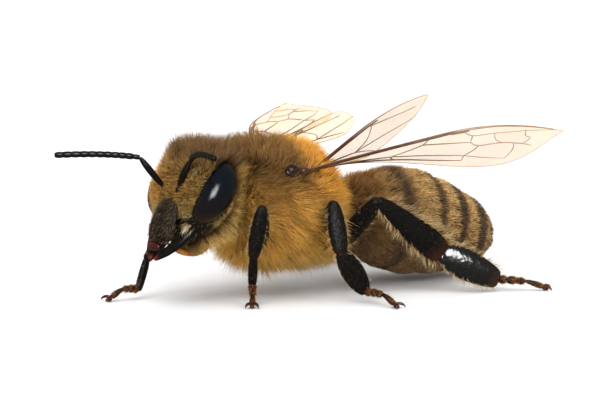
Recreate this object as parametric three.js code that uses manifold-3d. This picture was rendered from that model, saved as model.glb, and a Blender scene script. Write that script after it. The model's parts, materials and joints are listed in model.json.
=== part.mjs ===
// A honey bee worker standing on the floor, life size, in millimetres.
// The bee faces -Y, its left side is +X and +Z is up. The solids reach the tips of the coat.
import * as THREE from "three";
import { mergeVertices } from "three/addons/utils/BufferGeometryUtils.js";
import Module from "manifold-3d";

const wasm = await Module();
wasm.setup();

// Driving dimensions.

const GAP = 0.05; // clear space between neighbouring solids
const THIN = 0.5; // least thickness of wings, legs and feelers

const THORAX = {
  centre: [0, 0, 3.25],
  front: 2.65, // from the centre to the tips of the coat
  rear: 2.05,
  halfWidth: 2.3,
  halfHeight: 2.4,
  fall: 0.12, // how much lower the rear is than the front, as a share
  fullness: 0.14, // how square the ends are
  breast: 0.45, // how far the lower front reaches forward under the head
  crest: 2, // how square the top front corner is
  rump: 3, // how square the bottom rear corner is
};

const HEAD = {
  centre: [0, -3.81, 3.72],
  turn: [-19, -3, 7], // degrees about X, Y and Z: the jaws swing forward and the face looks up
  halfWidth: 1.95,
  top: 2.28,
  bottom: 1.75,
  front: 1.08,
  rear: 1.5,
  narrowing: 0.3, // share of the width lost between the eyes and the jaws
  hollow: 0.1, // share of the depth lost behind the jaws
  crown: 1.2, // how square the top rear corner is
  squareness: 0.25, // how square the face is below the eyes
};

// Places below are in the head's own frame, for the left side.
const EYE = {
  at: [1.47, 0.05, 0.26],
  halfLength: 1.14,
  halfBreadth: 0.62,
  bulge: 0.52, // how far it stands out sideways from its middle
  curl: 0.3, // how far both ends curl in
  lean: 0.28, // how far the top lies behind the bottom
};
const SOCKET = [0.4, -0.88, 0.1]; // where a feeler grows
const MANDIBLE = {
  base: [0.98, -0.3, -1.2],
  bulge: [0.85, -0.72, -1.86],
  tip: [0.1, -0.94, -2.36],
  halfWidth: 0.27,
  halfThickness: 0.25,
  outline: [1, 0.9, 0.82, 0.9, 0.8], // shares of both, at even steps
};
const LABRUM = { at: [0, -1.0, -1.9], halfWidth: 0.46, halfHeight: 0.26, halfDepth: 0.25 };

const PROBOSCIS = {
  route: [[0, -4.6, 2.1], [0, -3.9, 1.62], [0, -3.1, 2.0]],
  radius: 0.26,
  outline: [0.75, 1, 1, 0.8],
};
const NECK = { ends: [[0, -3.0, 3.3], [0, -1.7, 3.3]], radius: 0.62 };
const TEGULA = { at: [1.82, -0.62, 4.62], radii: [0.3, 0.36, 0.26], lean: 0.12 };

// Abdomen: an egg on a straight axis that falls towards the sting.
const ABDOMEN = {
  root: [0, 1.78, 2.64],
  bow: [0, 5.1, 2.25], // what pulls its axis into a bow
  tip: [0, 8.42, 1.0],
  broader: 1.03, // width over height
  lip: 0.035, // how far the rear edge of each plate stands proud
  edges: [0, 0.2, 0.38, 0.56, 0.715, 0.86, 1], // where the six plates start and end
  radii: [0.6, 1.4, 1.82, 1.97, 1.98, 1.88, 1.66, 1.44, 1.14, 0.36], // at even steps
};

// A wing's outline: the front edge is straight up to bowed, and the rear edge is widest at widest.
const FOREWING = {
  root: [1.86, -0.3, 4.62],
  length: 9.1,
  chord: 3.05,
  base: 0.4, // chord at the root
  apex: 1.42, // how far the tip lies behind the front edge
  bowed: 0.56,
  widest: 0.68,
  pointed: 1.4, // power of the outline from widest to tip: 0.5 is round
};
const HINDWING = {
  root: [1.5, 0.35, 4.62],
  length: 6.3,
  chord: 1.85,
  base: 0.3,
  apex: 0.75,
  bowed: 0.4,
  widest: 0.55,
  pointed: 0.5,
};
const WING_CURVE = { front: 1.8, rear: 1.9, rim: 0.8, edge: 0.4, tipTaper: 3 }; // powers of the outline
// Each wing's pose: heading out from the tail, rise, sag of the tip, roll at the root and the tip.
const WINGS = {
  forewing_left: { ...FOREWING, heading: 29.7, rise: 15.8, droop: 0.2, roll: [17, 49] },
  hindwing_left: { ...HINDWING, heading: -14.5, rise: 27, droop: 0.35, roll: [60, 64] },
  forewing_right: { ...FOREWING, heading: 61.5, rise: 1.4, droop: 0, roll: [-4, -8] },
  hindwing_right: { ...HINDWING, heading: 45, rise: 6, droop: 0, roll: [0, 0] },
};

// Feelers: base in the head's frame, elbow and tip in the bee's.
const FEELERS = {
  left: { elbow: [0.85, -4.22, 5.16], bend: [1.95, -4.62, 5.76], tip: [3.3, -4.62, 5.6] },
  right: { elbow: [-0.62, -5.42, 5.16], bend: [-1.2, -6.5, 5.34], tip: [-2.08, -7.98, 5.24] },
};

// Leg joints from the body to the claws. The arch is the top of the last tarsal bow.
const LEGS = {
  front_left: {
    hip: [0.5, -1.25, 2.0], trochanter: [0.95, -1.5, 1.72], knee: [1.98, -2.03, 3.5],
    ankle: [1.78, -2.28, 1.76], heel: [1.38, -2.1, 0.68], arch: [1.66, -2.24, 0.4],
    toe: [1.93, -2.42, 0.12],
  },
  middle_left: {
    hip: [0.5, 0.5, 1.9], trochanter: [1.25, 0.72, 1.6], knee: [2.42, 0.55, 3.5],
    ankle: [3.05, 0.47, 1.86], heel: [3.2, 1.38, 0.42], arch: [3.9, 1.62, 0.42],
    toe: [4.42, 1.82, 0.12],
  },
  hind_left: {
    hip: [0.5, 1.2, 2.1], trochanter: [1.25, 1.5, 1.75], knee: [2.55, 2.28, 3.46],
    ankle: [3.02, 4.6, 1.44], heel: [3.5, 6.58, 0.42], arch: [3.98, 7.4, 0.34],
    toe: [4.23, 8.0, 0.12],
  },
  front_right: {
    hip: [-0.5, -1.25, 2.0], trochanter: [-0.95, -1.6, 1.6], knee: [-2.1, -3.0, 2.62],
    ankle: [-1.75, -4.55, 1.34], heel: [-1.45, -5.05, 0.36], arch: [-1.5, -5.6, 0.4],
    toe: [-1.57, -6.05, 0.12],
  },
  middle_right: {
    hip: [-0.5, 0.5, 1.9], trochanter: [-1.25, 0.75, 1.6], knee: [-2.55, 1.15, 3.3],
    ankle: [-3.25, 2.2, 1.78], heel: [-3.45, 3.2, 0.42], arch: [-3.85, 3.8, 0.4],
    toe: [-4.2, 4.25, 0.12],
  },
  hind_right: {
    hip: [-0.5, 1.2, 2.1], trochanter: [-1.25, 1.5, 1.75], knee: [-2.75, 2.1, 3.4],
    ankle: [-3.6, 4.15, 1.46], heel: [-3.95, 6.05, 0.42], arch: [-4.25, 6.85, 0.34],
    toe: [-4.45, 7.45, 0.12],
  },
};

// Half-width and half-thickness of each leg piece, and its outline as shares of them at even steps.
const LEG_PIECES = {
  front: { coxa: [0.36, 0.36], femur: [0.3, 0.26], tibia: [0.3, 0.26], basitarsus: [0.26, 0.25] },
  middle: { coxa: [0.38, 0.38], femur: [0.33, 0.27], tibia: [0.35, 0.27], basitarsus: [0.44, 0.25] },
  hind: { coxa: [0.4, 0.4], femur: [0.38, 0.29], tibia: [0.58, 0.27], basitarsus: [0.6, 0.25] },
};
const LEG_OUTLINES = {
  coxa: [1, 1, 0.8],
  femur: [0.72, 0.95, 1, 0.92, 0.78],
  tibia: {
    front: [0.8, 0.95, 1, 1, 0.8],
    middle: [0.72, 0.9, 1, 1, 0.8],
    hind: [0.45, 0.62, 0.8, 0.96, 0.9],
  },
  basitarsus: { front: [0.85, 1, 0.95], middle: [0.7, 1, 0.72], hind: [0.72, 1, 0.92, 0.72] },
};
const OUTWARD = [0.92, -0.35, 0.17]; // the way the broad faces of a left leg look
const TARSUS_RADIUS = 0.25;
const CLAW = { length: 0.34, spread: 0.24, radius: 0.19, point: 0.4 };

// Small helpers.

const spot = (list) => new THREE.Vector3(...list);
const radians = THREE.MathUtils.degToRad;
const lerp = THREE.MathUtils.lerp;
// How far out a corner lies in direction (a, b) when an oval is made squarer; 0 leaves it round.
const corner = (a, b, squareness) => {
  const length = Math.hypot(a, b) || 1;
  const power = 2 + squareness;
  return (Math.abs(a / length) ** power + Math.abs(b / length) ** power) ** (-1 / power);
};
const UP = new THREE.Vector3(0, 0, 1);

// Reads a list of values as a smooth run along t from 0 to 1.
function run(values) {
  const curve = new THREE.SplineCurve(values.map((value, i) => new THREE.Vector2(i, value)));
  return (t) => curve.getPoint(THREE.MathUtils.clamp(t, 0, 1)).y;
}

// A closed geometry as a solid.
function solidOf(geometry) {
  geometry.deleteAttribute("normal");
  geometry.deleteAttribute("uv");
  const merged = mergeVertices(geometry, 1e-4);
  return new wasm.Manifold(
    new wasm.Mesh({
      numProp: 3,
      vertProperties: new Float32Array(merged.attributes.position.array),
      triVerts: new Uint32Array(merged.index.array),
    }),
  );
}

// A solid as a geometry, its corners counted from the point that carries it.
function geometryOf(solid, origin) {
  const mesh = solid.getMesh();
  const geometry = new THREE.BufferGeometry();
  geometry.setAttribute("position", new THREE.BufferAttribute(mesh.vertProperties, 3));
  geometry.setIndex(new THREE.BufferAttribute(mesh.triVerts, 1));
  geometry.translate(-origin.x, -origin.y, -origin.z);
  const faceted = geometry.toNonIndexed();
  faceted.computeVertexNormals();
  return faceted;
}

// Moves each corner of a geometry to where place() puts it.
function mapped(geometry, place) {
  const corners = geometry.getAttribute("position");
  const corner = new THREE.Vector3();
  for (let i = 0; i < corners.count; i += 1) {
    corner.fromBufferAttribute(corners, i);
    const put = place(corner);
    corners.setXYZ(i, put.x, put.y, put.z);
  }
  return solidOf(geometry);
}

// A ball pulled into shape; its poles lie on the Y axis.
const ball = (around, along, place) => mapped(new THREE.SphereGeometry(1, around, along), place);

// A closed body round a curve, with its own half-width and half-thickness along it.
// Its thin way points as near to facing as the curve allows.
function limb({ curve, wide, thick, facing, around = 8, along = 4, grow = 0 }) {
  const rod = new THREE.CylinderGeometry(1, 1, 1, around, along);
  return mapped(rod, (corner) => {
    const t = corner.y + 0.5;
    const tangent = curve.getTangent(t);
    const flat = facing.clone().addScaledVector(tangent, -facing.dot(tangent)).normalize();
    const broad = new THREE.Vector3().crossVectors(tangent, flat);
    const end = t < 0.001 ? -grow : t > 0.999 ? grow : 0;
    return curve
      .getPoint(t)
      .addScaledVector(tangent, end)
      .addScaledVector(broad, corner.x * (wide(t) + grow))
      .addScaledVector(flat, corner.z * (thick(t) + grow));
  });
}

const straight = (from, to) => new THREE.LineCurve3(spot(from), spot(to));

// The forms, each as a function of how much it is grown on every side.

const headTurn = new THREE.Matrix4()
  .makeRotationFromEuler(new THREE.Euler(...HEAD.turn.map(radians), "ZXY"))
  .setPosition(spot(HEAD.centre));
const inHead = (x, y, z) => new THREE.Vector3(x, y, z).applyMatrix4(headTurn);
const FACE = inHead(0, -1, 0).sub(spot(HEAD.centre));

// The head narrows from the eyes to the jaws. In its ball, y is up and z is towards the face.
function headForm(grow) {
  return ball(20, 12, ({ x, y, z }) => {
    const crown = corner(z, y, z < 0 && y > 0 ? HEAD.crown : 0);
    const down = Math.max(0, -y);
    const squarer = y < 0 ? Math.pow(Math.max(Math.hypot(x, z), 0.2), -HEAD.squareness) : 1;
    const width = (HEAD.halfWidth + grow) * (1 - HEAD.narrowing * down) * squarer;
    const depth = z > 0 ? HEAD.front + grow : (HEAD.rear + grow) * (1 - HEAD.hollow * down);
    const height = y > 0 ? HEAD.top + grow : HEAD.bottom + grow;
    return inHead(x * width, -z * depth * crown, y * height * crown);
  });
}

// A long oval eye whose ends curl in towards the middle of the head.
const eyeForm = (side) => (grow) =>
  ball(12, 9, ({ x, y, z }) => {
    const [across, deep, high] = EYE.at;
    return inHead(
      side * (across - EYE.curl * y * y) + x * (EYE.bulge + grow),
      deep + EYE.lean * y - z * (EYE.halfBreadth + grow),
      high + y * (EYE.halfLength + grow),
    );
  });

function feelerForms(side, { elbow, bend, tip }) {
  const base = inHead(side * SOCKET[0], SOCKET[1], SOCKET[2]);
  const shaft = new THREE.LineCurve3(base, spot(elbow));
  const whip = new THREE.QuadraticBezierCurve3(spot(elbow), spot(bend), spot(tip));
  const width = () => THIN / 2;
  const shape = { wide: width, thick: width, facing: FACE };
  return {
    scape: (grow) => limb({ ...shape, curve: shaft, around: 7, along: 1, grow }),
    flagellum: (grow) => limb({ ...shape, curve: whip, around: 7, along: 6, grow }),
  };
}

// A jaw: a blade that curves in from the cheek to meet the other one.
const mandibleForm = (side) => (grow) => {
  const [base, tip] = [MANDIBLE.base, MANDIBLE.tip].map(([x, y, z]) => inHead(side * x, y, z));
  const bulge = inHead(side * MANDIBLE.bulge[0], MANDIBLE.bulge[1], MANDIBLE.bulge[2]);
  const curve = new THREE.QuadraticBezierCurve3(base, bulge, tip);
  const outline = run(MANDIBLE.outline);
  const wide = (t) => MANDIBLE.halfWidth * outline(t);
  const thick = (t) => MANDIBLE.halfThickness * outline(t);
  return limb({ curve, wide, thick, facing: FACE, around: 7, along: 4, grow });
};

// The upper lip, a small plate below the face.
const labrumForm = (grow) =>
  ball(8, 5, ({ x, y, z }) =>
    inHead(
      x * (LABRUM.halfWidth + grow),
      LABRUM.at[1] - z * (LABRUM.halfDepth + grow),
      LABRUM.at[2] + y * (LABRUM.halfHeight + grow),
    ),
  );

// The tongue and its sheath, folded back under the head.
function proboscisForm(grow) {
  const curve = new THREE.QuadraticBezierCurve3(...PROBOSCIS.route.map(spot));
  const outline = run(PROBOSCIS.outline);
  const radius = (t) => PROBOSCIS.radius * outline(t);
  return limb({ curve, wide: radius, thick: radius, facing: FACE, along: 4, grow });
}

function neckForm(grow) {
  const radius = () => NECK.radius;
  return limb({ curve: straight(...NECK.ends), wide: radius, thick: radius, facing: UP, along: 1, grow });
}

// The thorax, highest ahead of its middle, with the coat that stands all round it.
function thoraxForm(grow) {
  const [cx, cy, cz] = THORAX.centre;
  return ball(20, 14, ({ x, y, z }) => {
    const squareness = y < 0 && z > 0 ? THORAX.crest : y > 0 && z < 0 ? THORAX.rump : 0;
    const square = corner(y, z, squareness);
    const reach = y < 0 ? THORAX.front * (1 + THORAX.breast * Math.max(0, -z)) : THORAX.rear;
    const length = (reach + grow) * square;
    const squarer = Math.pow(Math.max(Math.hypot(x, z), 0.3), -THORAX.fullness);
    const height = (THORAX.halfHeight + grow) * (1 - THORAX.fall * y) * square;
    return new THREE.Vector3(
      cx + x * squarer * (THORAX.halfWidth + grow),
      cy + y * length,
      cz + z * squarer * height,
    );
  });
}

// The shiny scale over the root of a forewing.
const tegulaForm = (side) => (grow) =>
  ball(8, 6, ({ x, y, z }) => {
    const [across, along, high] = TEGULA.at;
    return new THREE.Vector3(
      side * across + x * (TEGULA.radii[0] + grow),
      along + y * (TEGULA.radii[1] + grow),
      high + z * (TEGULA.radii[2] + grow) - TEGULA.lean * x * side,
    );
  });

// A wing: root at one pole, tip at the other, thin between its two faces.
const wingForm = (side, wing) => (grow) => {
  const heading = radians(wing.heading);
  const rise = radians(wing.rise);
  const along = new THREE.Vector3(side * Math.sin(heading), Math.cos(heading), Math.tan(rise));
  along.normalize();
  const level = new THREE.Vector3(-side * Math.cos(heading), Math.sin(heading), 0);
  const above = new THREE.Vector3().crossVectors(along, level).multiplyScalar(side);
  const root = spot(wing.root).multiply(new THREE.Vector3(side, 1, 1));
  const past = (t, start) => Math.max(0, (t - start) / (1 - start));
  const swell = (t) => Math.pow(Math.sin((Math.PI / 2) * (t / wing.widest)), WING_CURVE.rear);
  const lead = (t) => wing.apex * Math.pow(past(t, wing.bowed), WING_CURVE.front);
  const trail = (t) =>
    t < wing.widest
      ? wing.base + (wing.chord - wing.base) * swell(t)
      : wing.apex + (wing.chord - wing.apex) * Math.pow(1 - past(t, wing.widest) ** 2, wing.pointed);
  return ball(8, 12, ({ x, y, z }) => {
    const t = (y + 1) / 2;
    const ring = Math.hypot(x, z) || 1;
    const roll = radians(lerp(wing.roll[0], wing.roll[1], t));
    const chord = level.clone().multiplyScalar(Math.cos(roll)).addScaledVector(above, -Math.sin(roll));
    const normal = new THREE.Vector3().crossVectors(chord, along);
    const half = (trail(t) - lead(t)) / 2;
    const out = Math.sign(x) * Math.pow(Math.abs(x / ring), WING_CURVE.rim);
    const up = Math.sign(z) * Math.pow(Math.abs(z / ring), WING_CURVE.edge);
    const across = lead(t) + half + out * (half + grow);
    const taper = Math.min(1, WING_CURVE.tipTaper * Math.hypot(x, z));
    const thick = up * taper * (THIN / 2 + grow);
    return root
      .clone()
      .addScaledVector(along, t * wing.length + y * grow)
      .addScaledVector(chord, across)
      .addScaledVector(normal, thick)
      .add(new THREE.Vector3(0, 0, -wing.droop * t * t));
  });
};

// One plate of the abdomen: a length of the egg whose rear edge stands a little proud.
const abdomenForm = (index) => (grow) => {
  const [root, bow, tip] = [ABDOMEN.root, ABDOMEN.bow, ABDOMEN.tip].map((place) => new THREE.Vector3(...place));
  const axis = new THREE.QuadraticBezierCurve3(root, bow, tip);
  const radius = run(ABDOMEN.radii);
  const inset = GAP / 2 / axis.getLength();
  const from = ABDOMEN.edges[index] + inset;
  const to = ABDOMEN.edges[index + 1] - inset;
  const pull = root.clone().lerp(bow, from).lerp(bow.clone().lerp(tip, from), to);
  const curve = new THREE.QuadraticBezierCurve3(axis.getPoint(from), pull, axis.getPoint(to));
  const thick = (t) => radius(lerp(from, to, t)) + ABDOMEN.lip * t;
  const wide = (t) => ABDOMEN.broader * thick(t);
  return limb({ curve, wide, thick, facing: UP, around: 20, along: 2, grow });
};

const legForms = (place, side, joints) => {
  const facing = new THREE.Vector3(side * OUTWARD[0], OUTWARD[1], OUTWARD[2]);
  const piece = (kind, from, to, around, along) => (grow) => {
    const sizes = LEG_PIECES[place][kind];
    const shares = run(LEG_OUTLINES[kind][place] || LEG_OUTLINES[kind]);
    const wide = (t) => sizes[0] * shares(t);
    const thick = (t) => sizes[1] * Math.sqrt(shares(t));
    return limb({ curve: straight(from, to), wide, thick, facing, around, along, grow });
  };
  return {
    coxa: piece("coxa", joints.hip, joints.trochanter, 6, 1),
    femur: piece("femur", joints.trochanter, joints.knee, 7, 3),
    tibia: piece("tibia", joints.knee, joints.ankle, 8, 4),
    basitarsus: piece("basitarsus", joints.ankle, joints.heel, 8, 3),
    tarsus: tarsusForm(facing, joints),
  };
};

// The small joints of a foot, with its two claws, cut flat where it stands on the floor.
const tarsusForm = (facing, joints) => (grow) => {
  const [heel, arch, toe] = [joints.heel, joints.arch, joints.toe].map(spot);
  const bow = new THREE.CatmullRomCurve3([heel, arch, toe]);
  const radius = () => TARSUS_RADIUS;
  const foot = limb({ curve: bow, wide: radius, thick: radius, facing, around: 7, along: 4, grow });
  const ahead = toe.clone().sub(heel).setZ(0).normalize();
  const aside = new THREE.Vector3(-ahead.y, ahead.x, 0);
  const claws = [-1, 1].map((hand) => {
    const end = toe.clone();
    end.addScaledVector(ahead, CLAW.length).addScaledVector(aside, hand * CLAW.spread);
    const narrow = (t) => CLAW.radius * lerp(1, CLAW.point, t);
    const curve = new THREE.LineCurve3(toe, end);
    return limb({ curve, wide: narrow, thick: narrow, facing: UP, around: 5, along: 1, grow });
  });
  return grow ? foot : foot.add(claws[0]).add(claws[1]).subtract(belowFloor);
};

const belowFloor = solidOf(new THREE.BoxGeometry(40, 40, 2).translate(0, 0, -1));

// Finishes.

const finish = (color, roughness) => new THREE.MeshStandardMaterial({ color, roughness, metalness: 0 });
const FINISHES = {
  coat: finish("#8f6430", 0.9),
  face: finish("#5d4424", 0.8),
  eye: finish("#0d1016", 0.15),
  shell: finish("#14110f", 0.35),
  lip: finish("#7a2a12", 0.4),
  tongue: finish("#a86226", 0.4),
  wing: finish("#d9c9a4", 0.3),
  belly: finish("#4a3520", 0.6),
  foot: finish("#5a2a18", 0.45),
};

// Assembly: each solid gives way to the ones that are already in place.

const bee = new THREE.Group();
const placed = [];

function largest(solid) {
  return solid.decompose().reduce((best, body) => (body.volume() > best.volume() ? body : best));
}

function add(name, form, material, { group = bee, at = [0, 0, 0], clearOf = [] } = {}) {
  let solid = form(0);
  placed.filter((other) => clearOf.some((key) => other.name.startsWith(key))).forEach((other) => {
    solid = solid.subtract(other.form(GAP));
  });
  const whole = largest(solid);
  const pivot = spot(at);
  const mesh = new THREE.Mesh(geometryOf(whole, pivot), material);
  mesh.name = name;
  mesh.position.copy(pivot).sub(group.position);
  group.add(mesh);
  placed.push({ name, form });
}

function subGroup(at) {
  const group = new THREE.Group();
  group.position.copy(spot(at));
  bee.add(group);
  return group;
}

const SIDES = { left: 1, right: -1 };

// The pieces of a leg from the body outwards, each with the joint that carries it.
const LEG_ORDER = { coxa: "hip", femur: "trochanter", tibia: "knee", basitarsus: "ankle", tarsus: "heel" };

for (const [name, joints] of Object.entries(LEGS)) {
  const [place, hand] = name.split("_");
  const forms = legForms(place, SIDES[hand], joints);
  const group = subGroup(joints.hip);
  let clearOf = [];
  for (const [kind, joint] of Object.entries(LEG_ORDER)) {
    const material = kind === "tarsus" ? FINISHES.foot : FINISHES.shell;
    add(`leg_${name}_${kind}`, forms[kind], material, { group, at: joints[joint], clearOf });
    clearOf = [`leg_${name}_${kind}`];
  }
}

const headGroup = subGroup(HEAD.centre);
function addToHead(name, form, material, clearOf = []) {
  add(name, form, material, { group: headGroup, at: HEAD.centre, clearOf });
}
for (const [hand, side] of Object.entries(SIDES)) {
  const feeler = feelerForms(side, FEELERS[hand]);
  const scape = `antenna_${hand}_scape`;
  addToHead(`eye_${hand}`, eyeForm(side), FINISHES.eye);
  addToHead(scape, feeler.scape, FINISHES.shell);
  addToHead(`antenna_${hand}_flagellum`, feeler.flagellum, FINISHES.shell, [scape]);
  addToHead(`mandible_${hand}`, mandibleForm(side), FINISHES.shell, ["mandible_left"]);
}
addToHead("labrum", labrumForm, FINISHES.lip, ["mandible"]);
addToHead("proboscis", proboscisForm, FINISHES.tongue, ["mandible", "labrum", "leg_front"]);
add("neck", neckForm, FINISHES.shell, { at: NECK.ends[0] });
const FACE_PARTS = ["eye", "antenna", "mandible", "labrum", "proboscis"];
addToHead("head", headForm, FINISHES.face, [...FACE_PARTS, "neck", "leg_front"]);

for (const [hand, side] of Object.entries(SIDES)) {
  add(`tegula_${hand}`, tegulaForm(side), FINISHES.shell, { at: THORAX.centre });
  for (const kind of ["forewing", "hindwing"]) {
    const wing = WINGS[`${kind}_${hand}`];
    add(`${kind}_${hand}`, wingForm(side, wing), FINISHES.wing, {
      at: THORAX.centre,
      clearOf: [`tegula_${hand}`, `forewing_${hand}`],
    });
  }
}
add("thorax", thoraxForm, FINISHES.coat, {
  at: THORAX.centre,
  clearOf: ["leg_", "neck", "head", "tegula", "forewing", "hindwing"],
});
for (let index = 0; index < ABDOMEN.edges.length - 1; index += 1) {
  add(`abdomen_${index + 1}`, abdomenForm(index), FINISHES.belly, {
    at: ABDOMEN.root,
    clearOf: ["leg_", "thorax", "forewing", "hindwing"],
  });
}

// The group's origin is the middle of its footprint, on the floor.
const bounds = new THREE.Box3().setFromObject(bee);
const middle = bounds.getCenter(new THREE.Vector3());
bee.position.set(-middle.x, -middle.y, 0);
bee.name = "honey_bee";

export default new THREE.Group().add(bee);
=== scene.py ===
"""A honey bee worker, life size, standing on the floor.

Lengths in this file are millimetres in the bee's own frame: it faces -Y, its left side is +X, the floor is
z = 0 and the origin lies under the middle of its thorax. Forge turns them into metres in the row frame.
"""

import json
import logging
import math
from dataclasses import dataclass
from enum import Enum
from typing import Callable, Iterable, Sequence

import bmesh
import bpy
import numpy as np
from mathutils import Matrix, Vector

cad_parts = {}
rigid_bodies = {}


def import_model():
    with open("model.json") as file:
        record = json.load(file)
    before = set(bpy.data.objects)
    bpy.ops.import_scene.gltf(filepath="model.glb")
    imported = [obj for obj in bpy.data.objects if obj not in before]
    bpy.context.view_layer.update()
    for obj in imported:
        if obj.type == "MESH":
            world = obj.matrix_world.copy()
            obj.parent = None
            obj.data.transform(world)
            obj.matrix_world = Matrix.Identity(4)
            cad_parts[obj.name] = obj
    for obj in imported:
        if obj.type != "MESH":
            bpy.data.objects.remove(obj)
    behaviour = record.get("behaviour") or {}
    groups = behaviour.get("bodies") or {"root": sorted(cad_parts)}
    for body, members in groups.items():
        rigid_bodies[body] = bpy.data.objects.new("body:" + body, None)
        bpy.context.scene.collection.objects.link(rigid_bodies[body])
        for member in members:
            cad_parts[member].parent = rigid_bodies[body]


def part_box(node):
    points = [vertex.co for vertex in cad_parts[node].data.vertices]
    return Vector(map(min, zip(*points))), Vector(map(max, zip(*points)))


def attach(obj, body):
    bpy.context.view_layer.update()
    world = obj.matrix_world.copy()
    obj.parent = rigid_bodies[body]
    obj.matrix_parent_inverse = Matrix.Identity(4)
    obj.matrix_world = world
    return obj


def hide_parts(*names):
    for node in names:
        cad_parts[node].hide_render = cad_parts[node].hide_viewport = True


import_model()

LOG = logging.getLogger("honey_bee")
MM = 0.001
BODY = "root"

Place = Callable[[Vector], Vector]
Share = Callable[[float], float]
Field = Callable[[np.ndarray, np.ndarray, np.ndarray], np.ndarray]
Colour = tuple[float, float, float]
Rows = np.ndarray
Tile = tuple[float, float, float, float]


class Side(Enum):
    """The two sides of the bee, as the sign of X."""

    LEFT = 1
    RIGHT = -1

    @property
    def word(self) -> str:
        """The side as it is written in node names."""
        return self.name.lower()


class Slot(Enum):
    """The finish slots that pieces take their looks from."""

    FACE = "face"
    EYE = "eye"
    SHELL = "shell"
    LIP = "lip"
    TONGUE = "tongue"
    COAT = "coat"
    WING = "wing"
    BELLY = "belly"
    FOOT = "foot"


# ---------------------------------------------------------------- small maths


def smooth(low: float, high: float, value: np.ndarray | float) -> np.ndarray:
    """Eases from 0 to 1 as a value goes from low to high.

    Args:
        low: where the rise starts.
        high: where it ends; it may be under low.
        value: a number or an array of them.

    Returns:
        The eased share or shares.
    """
    share = np.clip((np.asarray(value, float) - low) / (high - low), 0.0, 1.0)
    return share * share * (3.0 - 2.0 * share)


def run(values: Sequence[float]) -> Share:
    """Reads a list of values as a smooth run along t from 0 to 1.

    Args:
        values: the values at even steps.

    Returns:
        A function of t.
    """
    count = len(values) - 1

    def read(t: float) -> float:
        """Catmull-Rom between the nearest values."""
        place = min(max(t, 0.0), 1.0) * count
        i = min(int(place), count - 1)
        u = place - i
        b, c = values[i], values[i + 1]
        a = values[i - 1] if i > 0 else b
        d = values[i + 2] if i + 2 <= count else c
        lift = (c - a) / 2, (d - b) / 2
        return (
            (2 * u**3 - 3 * u**2 + 1) * b
            + (u**3 - 2 * u**2 + u) * lift[0]
            + (3 * u**2 - 2 * u**3) * c
            + (u**3 - u**2) * lift[1]
        )

    return read


def even_share(value: float) -> Share:
    """A share that is the same all along.

    Args:
        value: its value.

    Returns:
        The share.
    """
    return lambda t: value


def unit(rows: np.ndarray) -> np.ndarray:
    """Scales each row of an array to length one.

    Args:
        rows: an array of vectors.

    Returns:
        The unit vectors.
    """
    return rows / np.maximum(np.linalg.norm(rows, axis=-1, keepdims=True), 1e-9)


def ripple(points: np.ndarray, size: float, seed: int) -> np.ndarray:
    """Gives three smooth wandering values at each point.

    Args:
        points: places, one a row.
        size: the length of a ripple.
        seed: which ripple pattern.

    Returns:
        An array of the same shape, each value about -1 to 1.
    """
    rng = np.random.default_rng(seed)
    total = np.zeros_like(points)
    for _ in range(5):
        wave = unit(rng.normal(size=3)) * (2 * math.pi / size) * rng.uniform(0.7, 1.5)
        phase = rng.uniform(0, 2 * math.pi, size=3)
        total += np.sin((points @ wave)[:, None] + phase)
    return total / 3.0


def blend(base: Sequence[float] | np.ndarray, other: Sequence[float], share: np.ndarray) -> np.ndarray:
    """Mixes a colour, or rows of colours, towards another one.

    Args:
        base: one colour or rows of colours.
        other: the colour to mix in.
        share: how much of it, one number a row.

    Returns:
        Rows of colours.
    """
    rows = np.broadcast_to(np.asarray(base, float), (len(share), 3))
    return rows * (1 - share[:, None]) + np.asarray(other, float) * share[:, None]


@dataclass(frozen=True)
class Path:
    """A smooth curve through a few points, in mm.

    Args:
        points: the points, each an (x, y, z).
    """

    points: tuple[tuple[float, float, float], ...]

    def at(self, t: float) -> Vector:
        """The place at t from 0 to 1."""
        return Vector([run([p[axis] for p in self.points])(t) for axis in range(3)])

    def heading(self, t: float) -> Vector:
        """The unit direction of travel at t."""
        step = 0.01
        return (self.at(min(1.0, t + step)) - self.at(max(0.0, t - step))).normalized()

    @staticmethod
    def arc(start: Sequence[float], pull: Sequence[float], end: Sequence[float], steps: int = 8) -> "Path":
        """A path along a quadratic curve.

        Args:
            start: the first point.
            pull: the point that pulls the curve.
            end: the last point.
            steps: how many spans.

        Returns:
            The path.
        """
        a, b, c = Vector(start), Vector(pull), Vector(end)
        spots = []
        for i in range(steps + 1):
            u = i / steps
            spots.append(tuple(a * (1 - u) ** 2 + b * 2 * u * (1 - u) + c * u * u))
        return Path(tuple(spots))


# ---------------------------------------------------------------- the forge


@dataclass
class Pelt:
    """A finished skin as arrays, ready to grow hair on, in mm.

    Args:
        corners: vertex places.
        normals: vertex normals.
        way: each vertex's place on the unit ball that the skin was drawn from.
        faces: corner numbers of each triangle.
    """

    corners: np.ndarray
    normals: np.ndarray
    way: np.ndarray
    faces: np.ndarray


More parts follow.
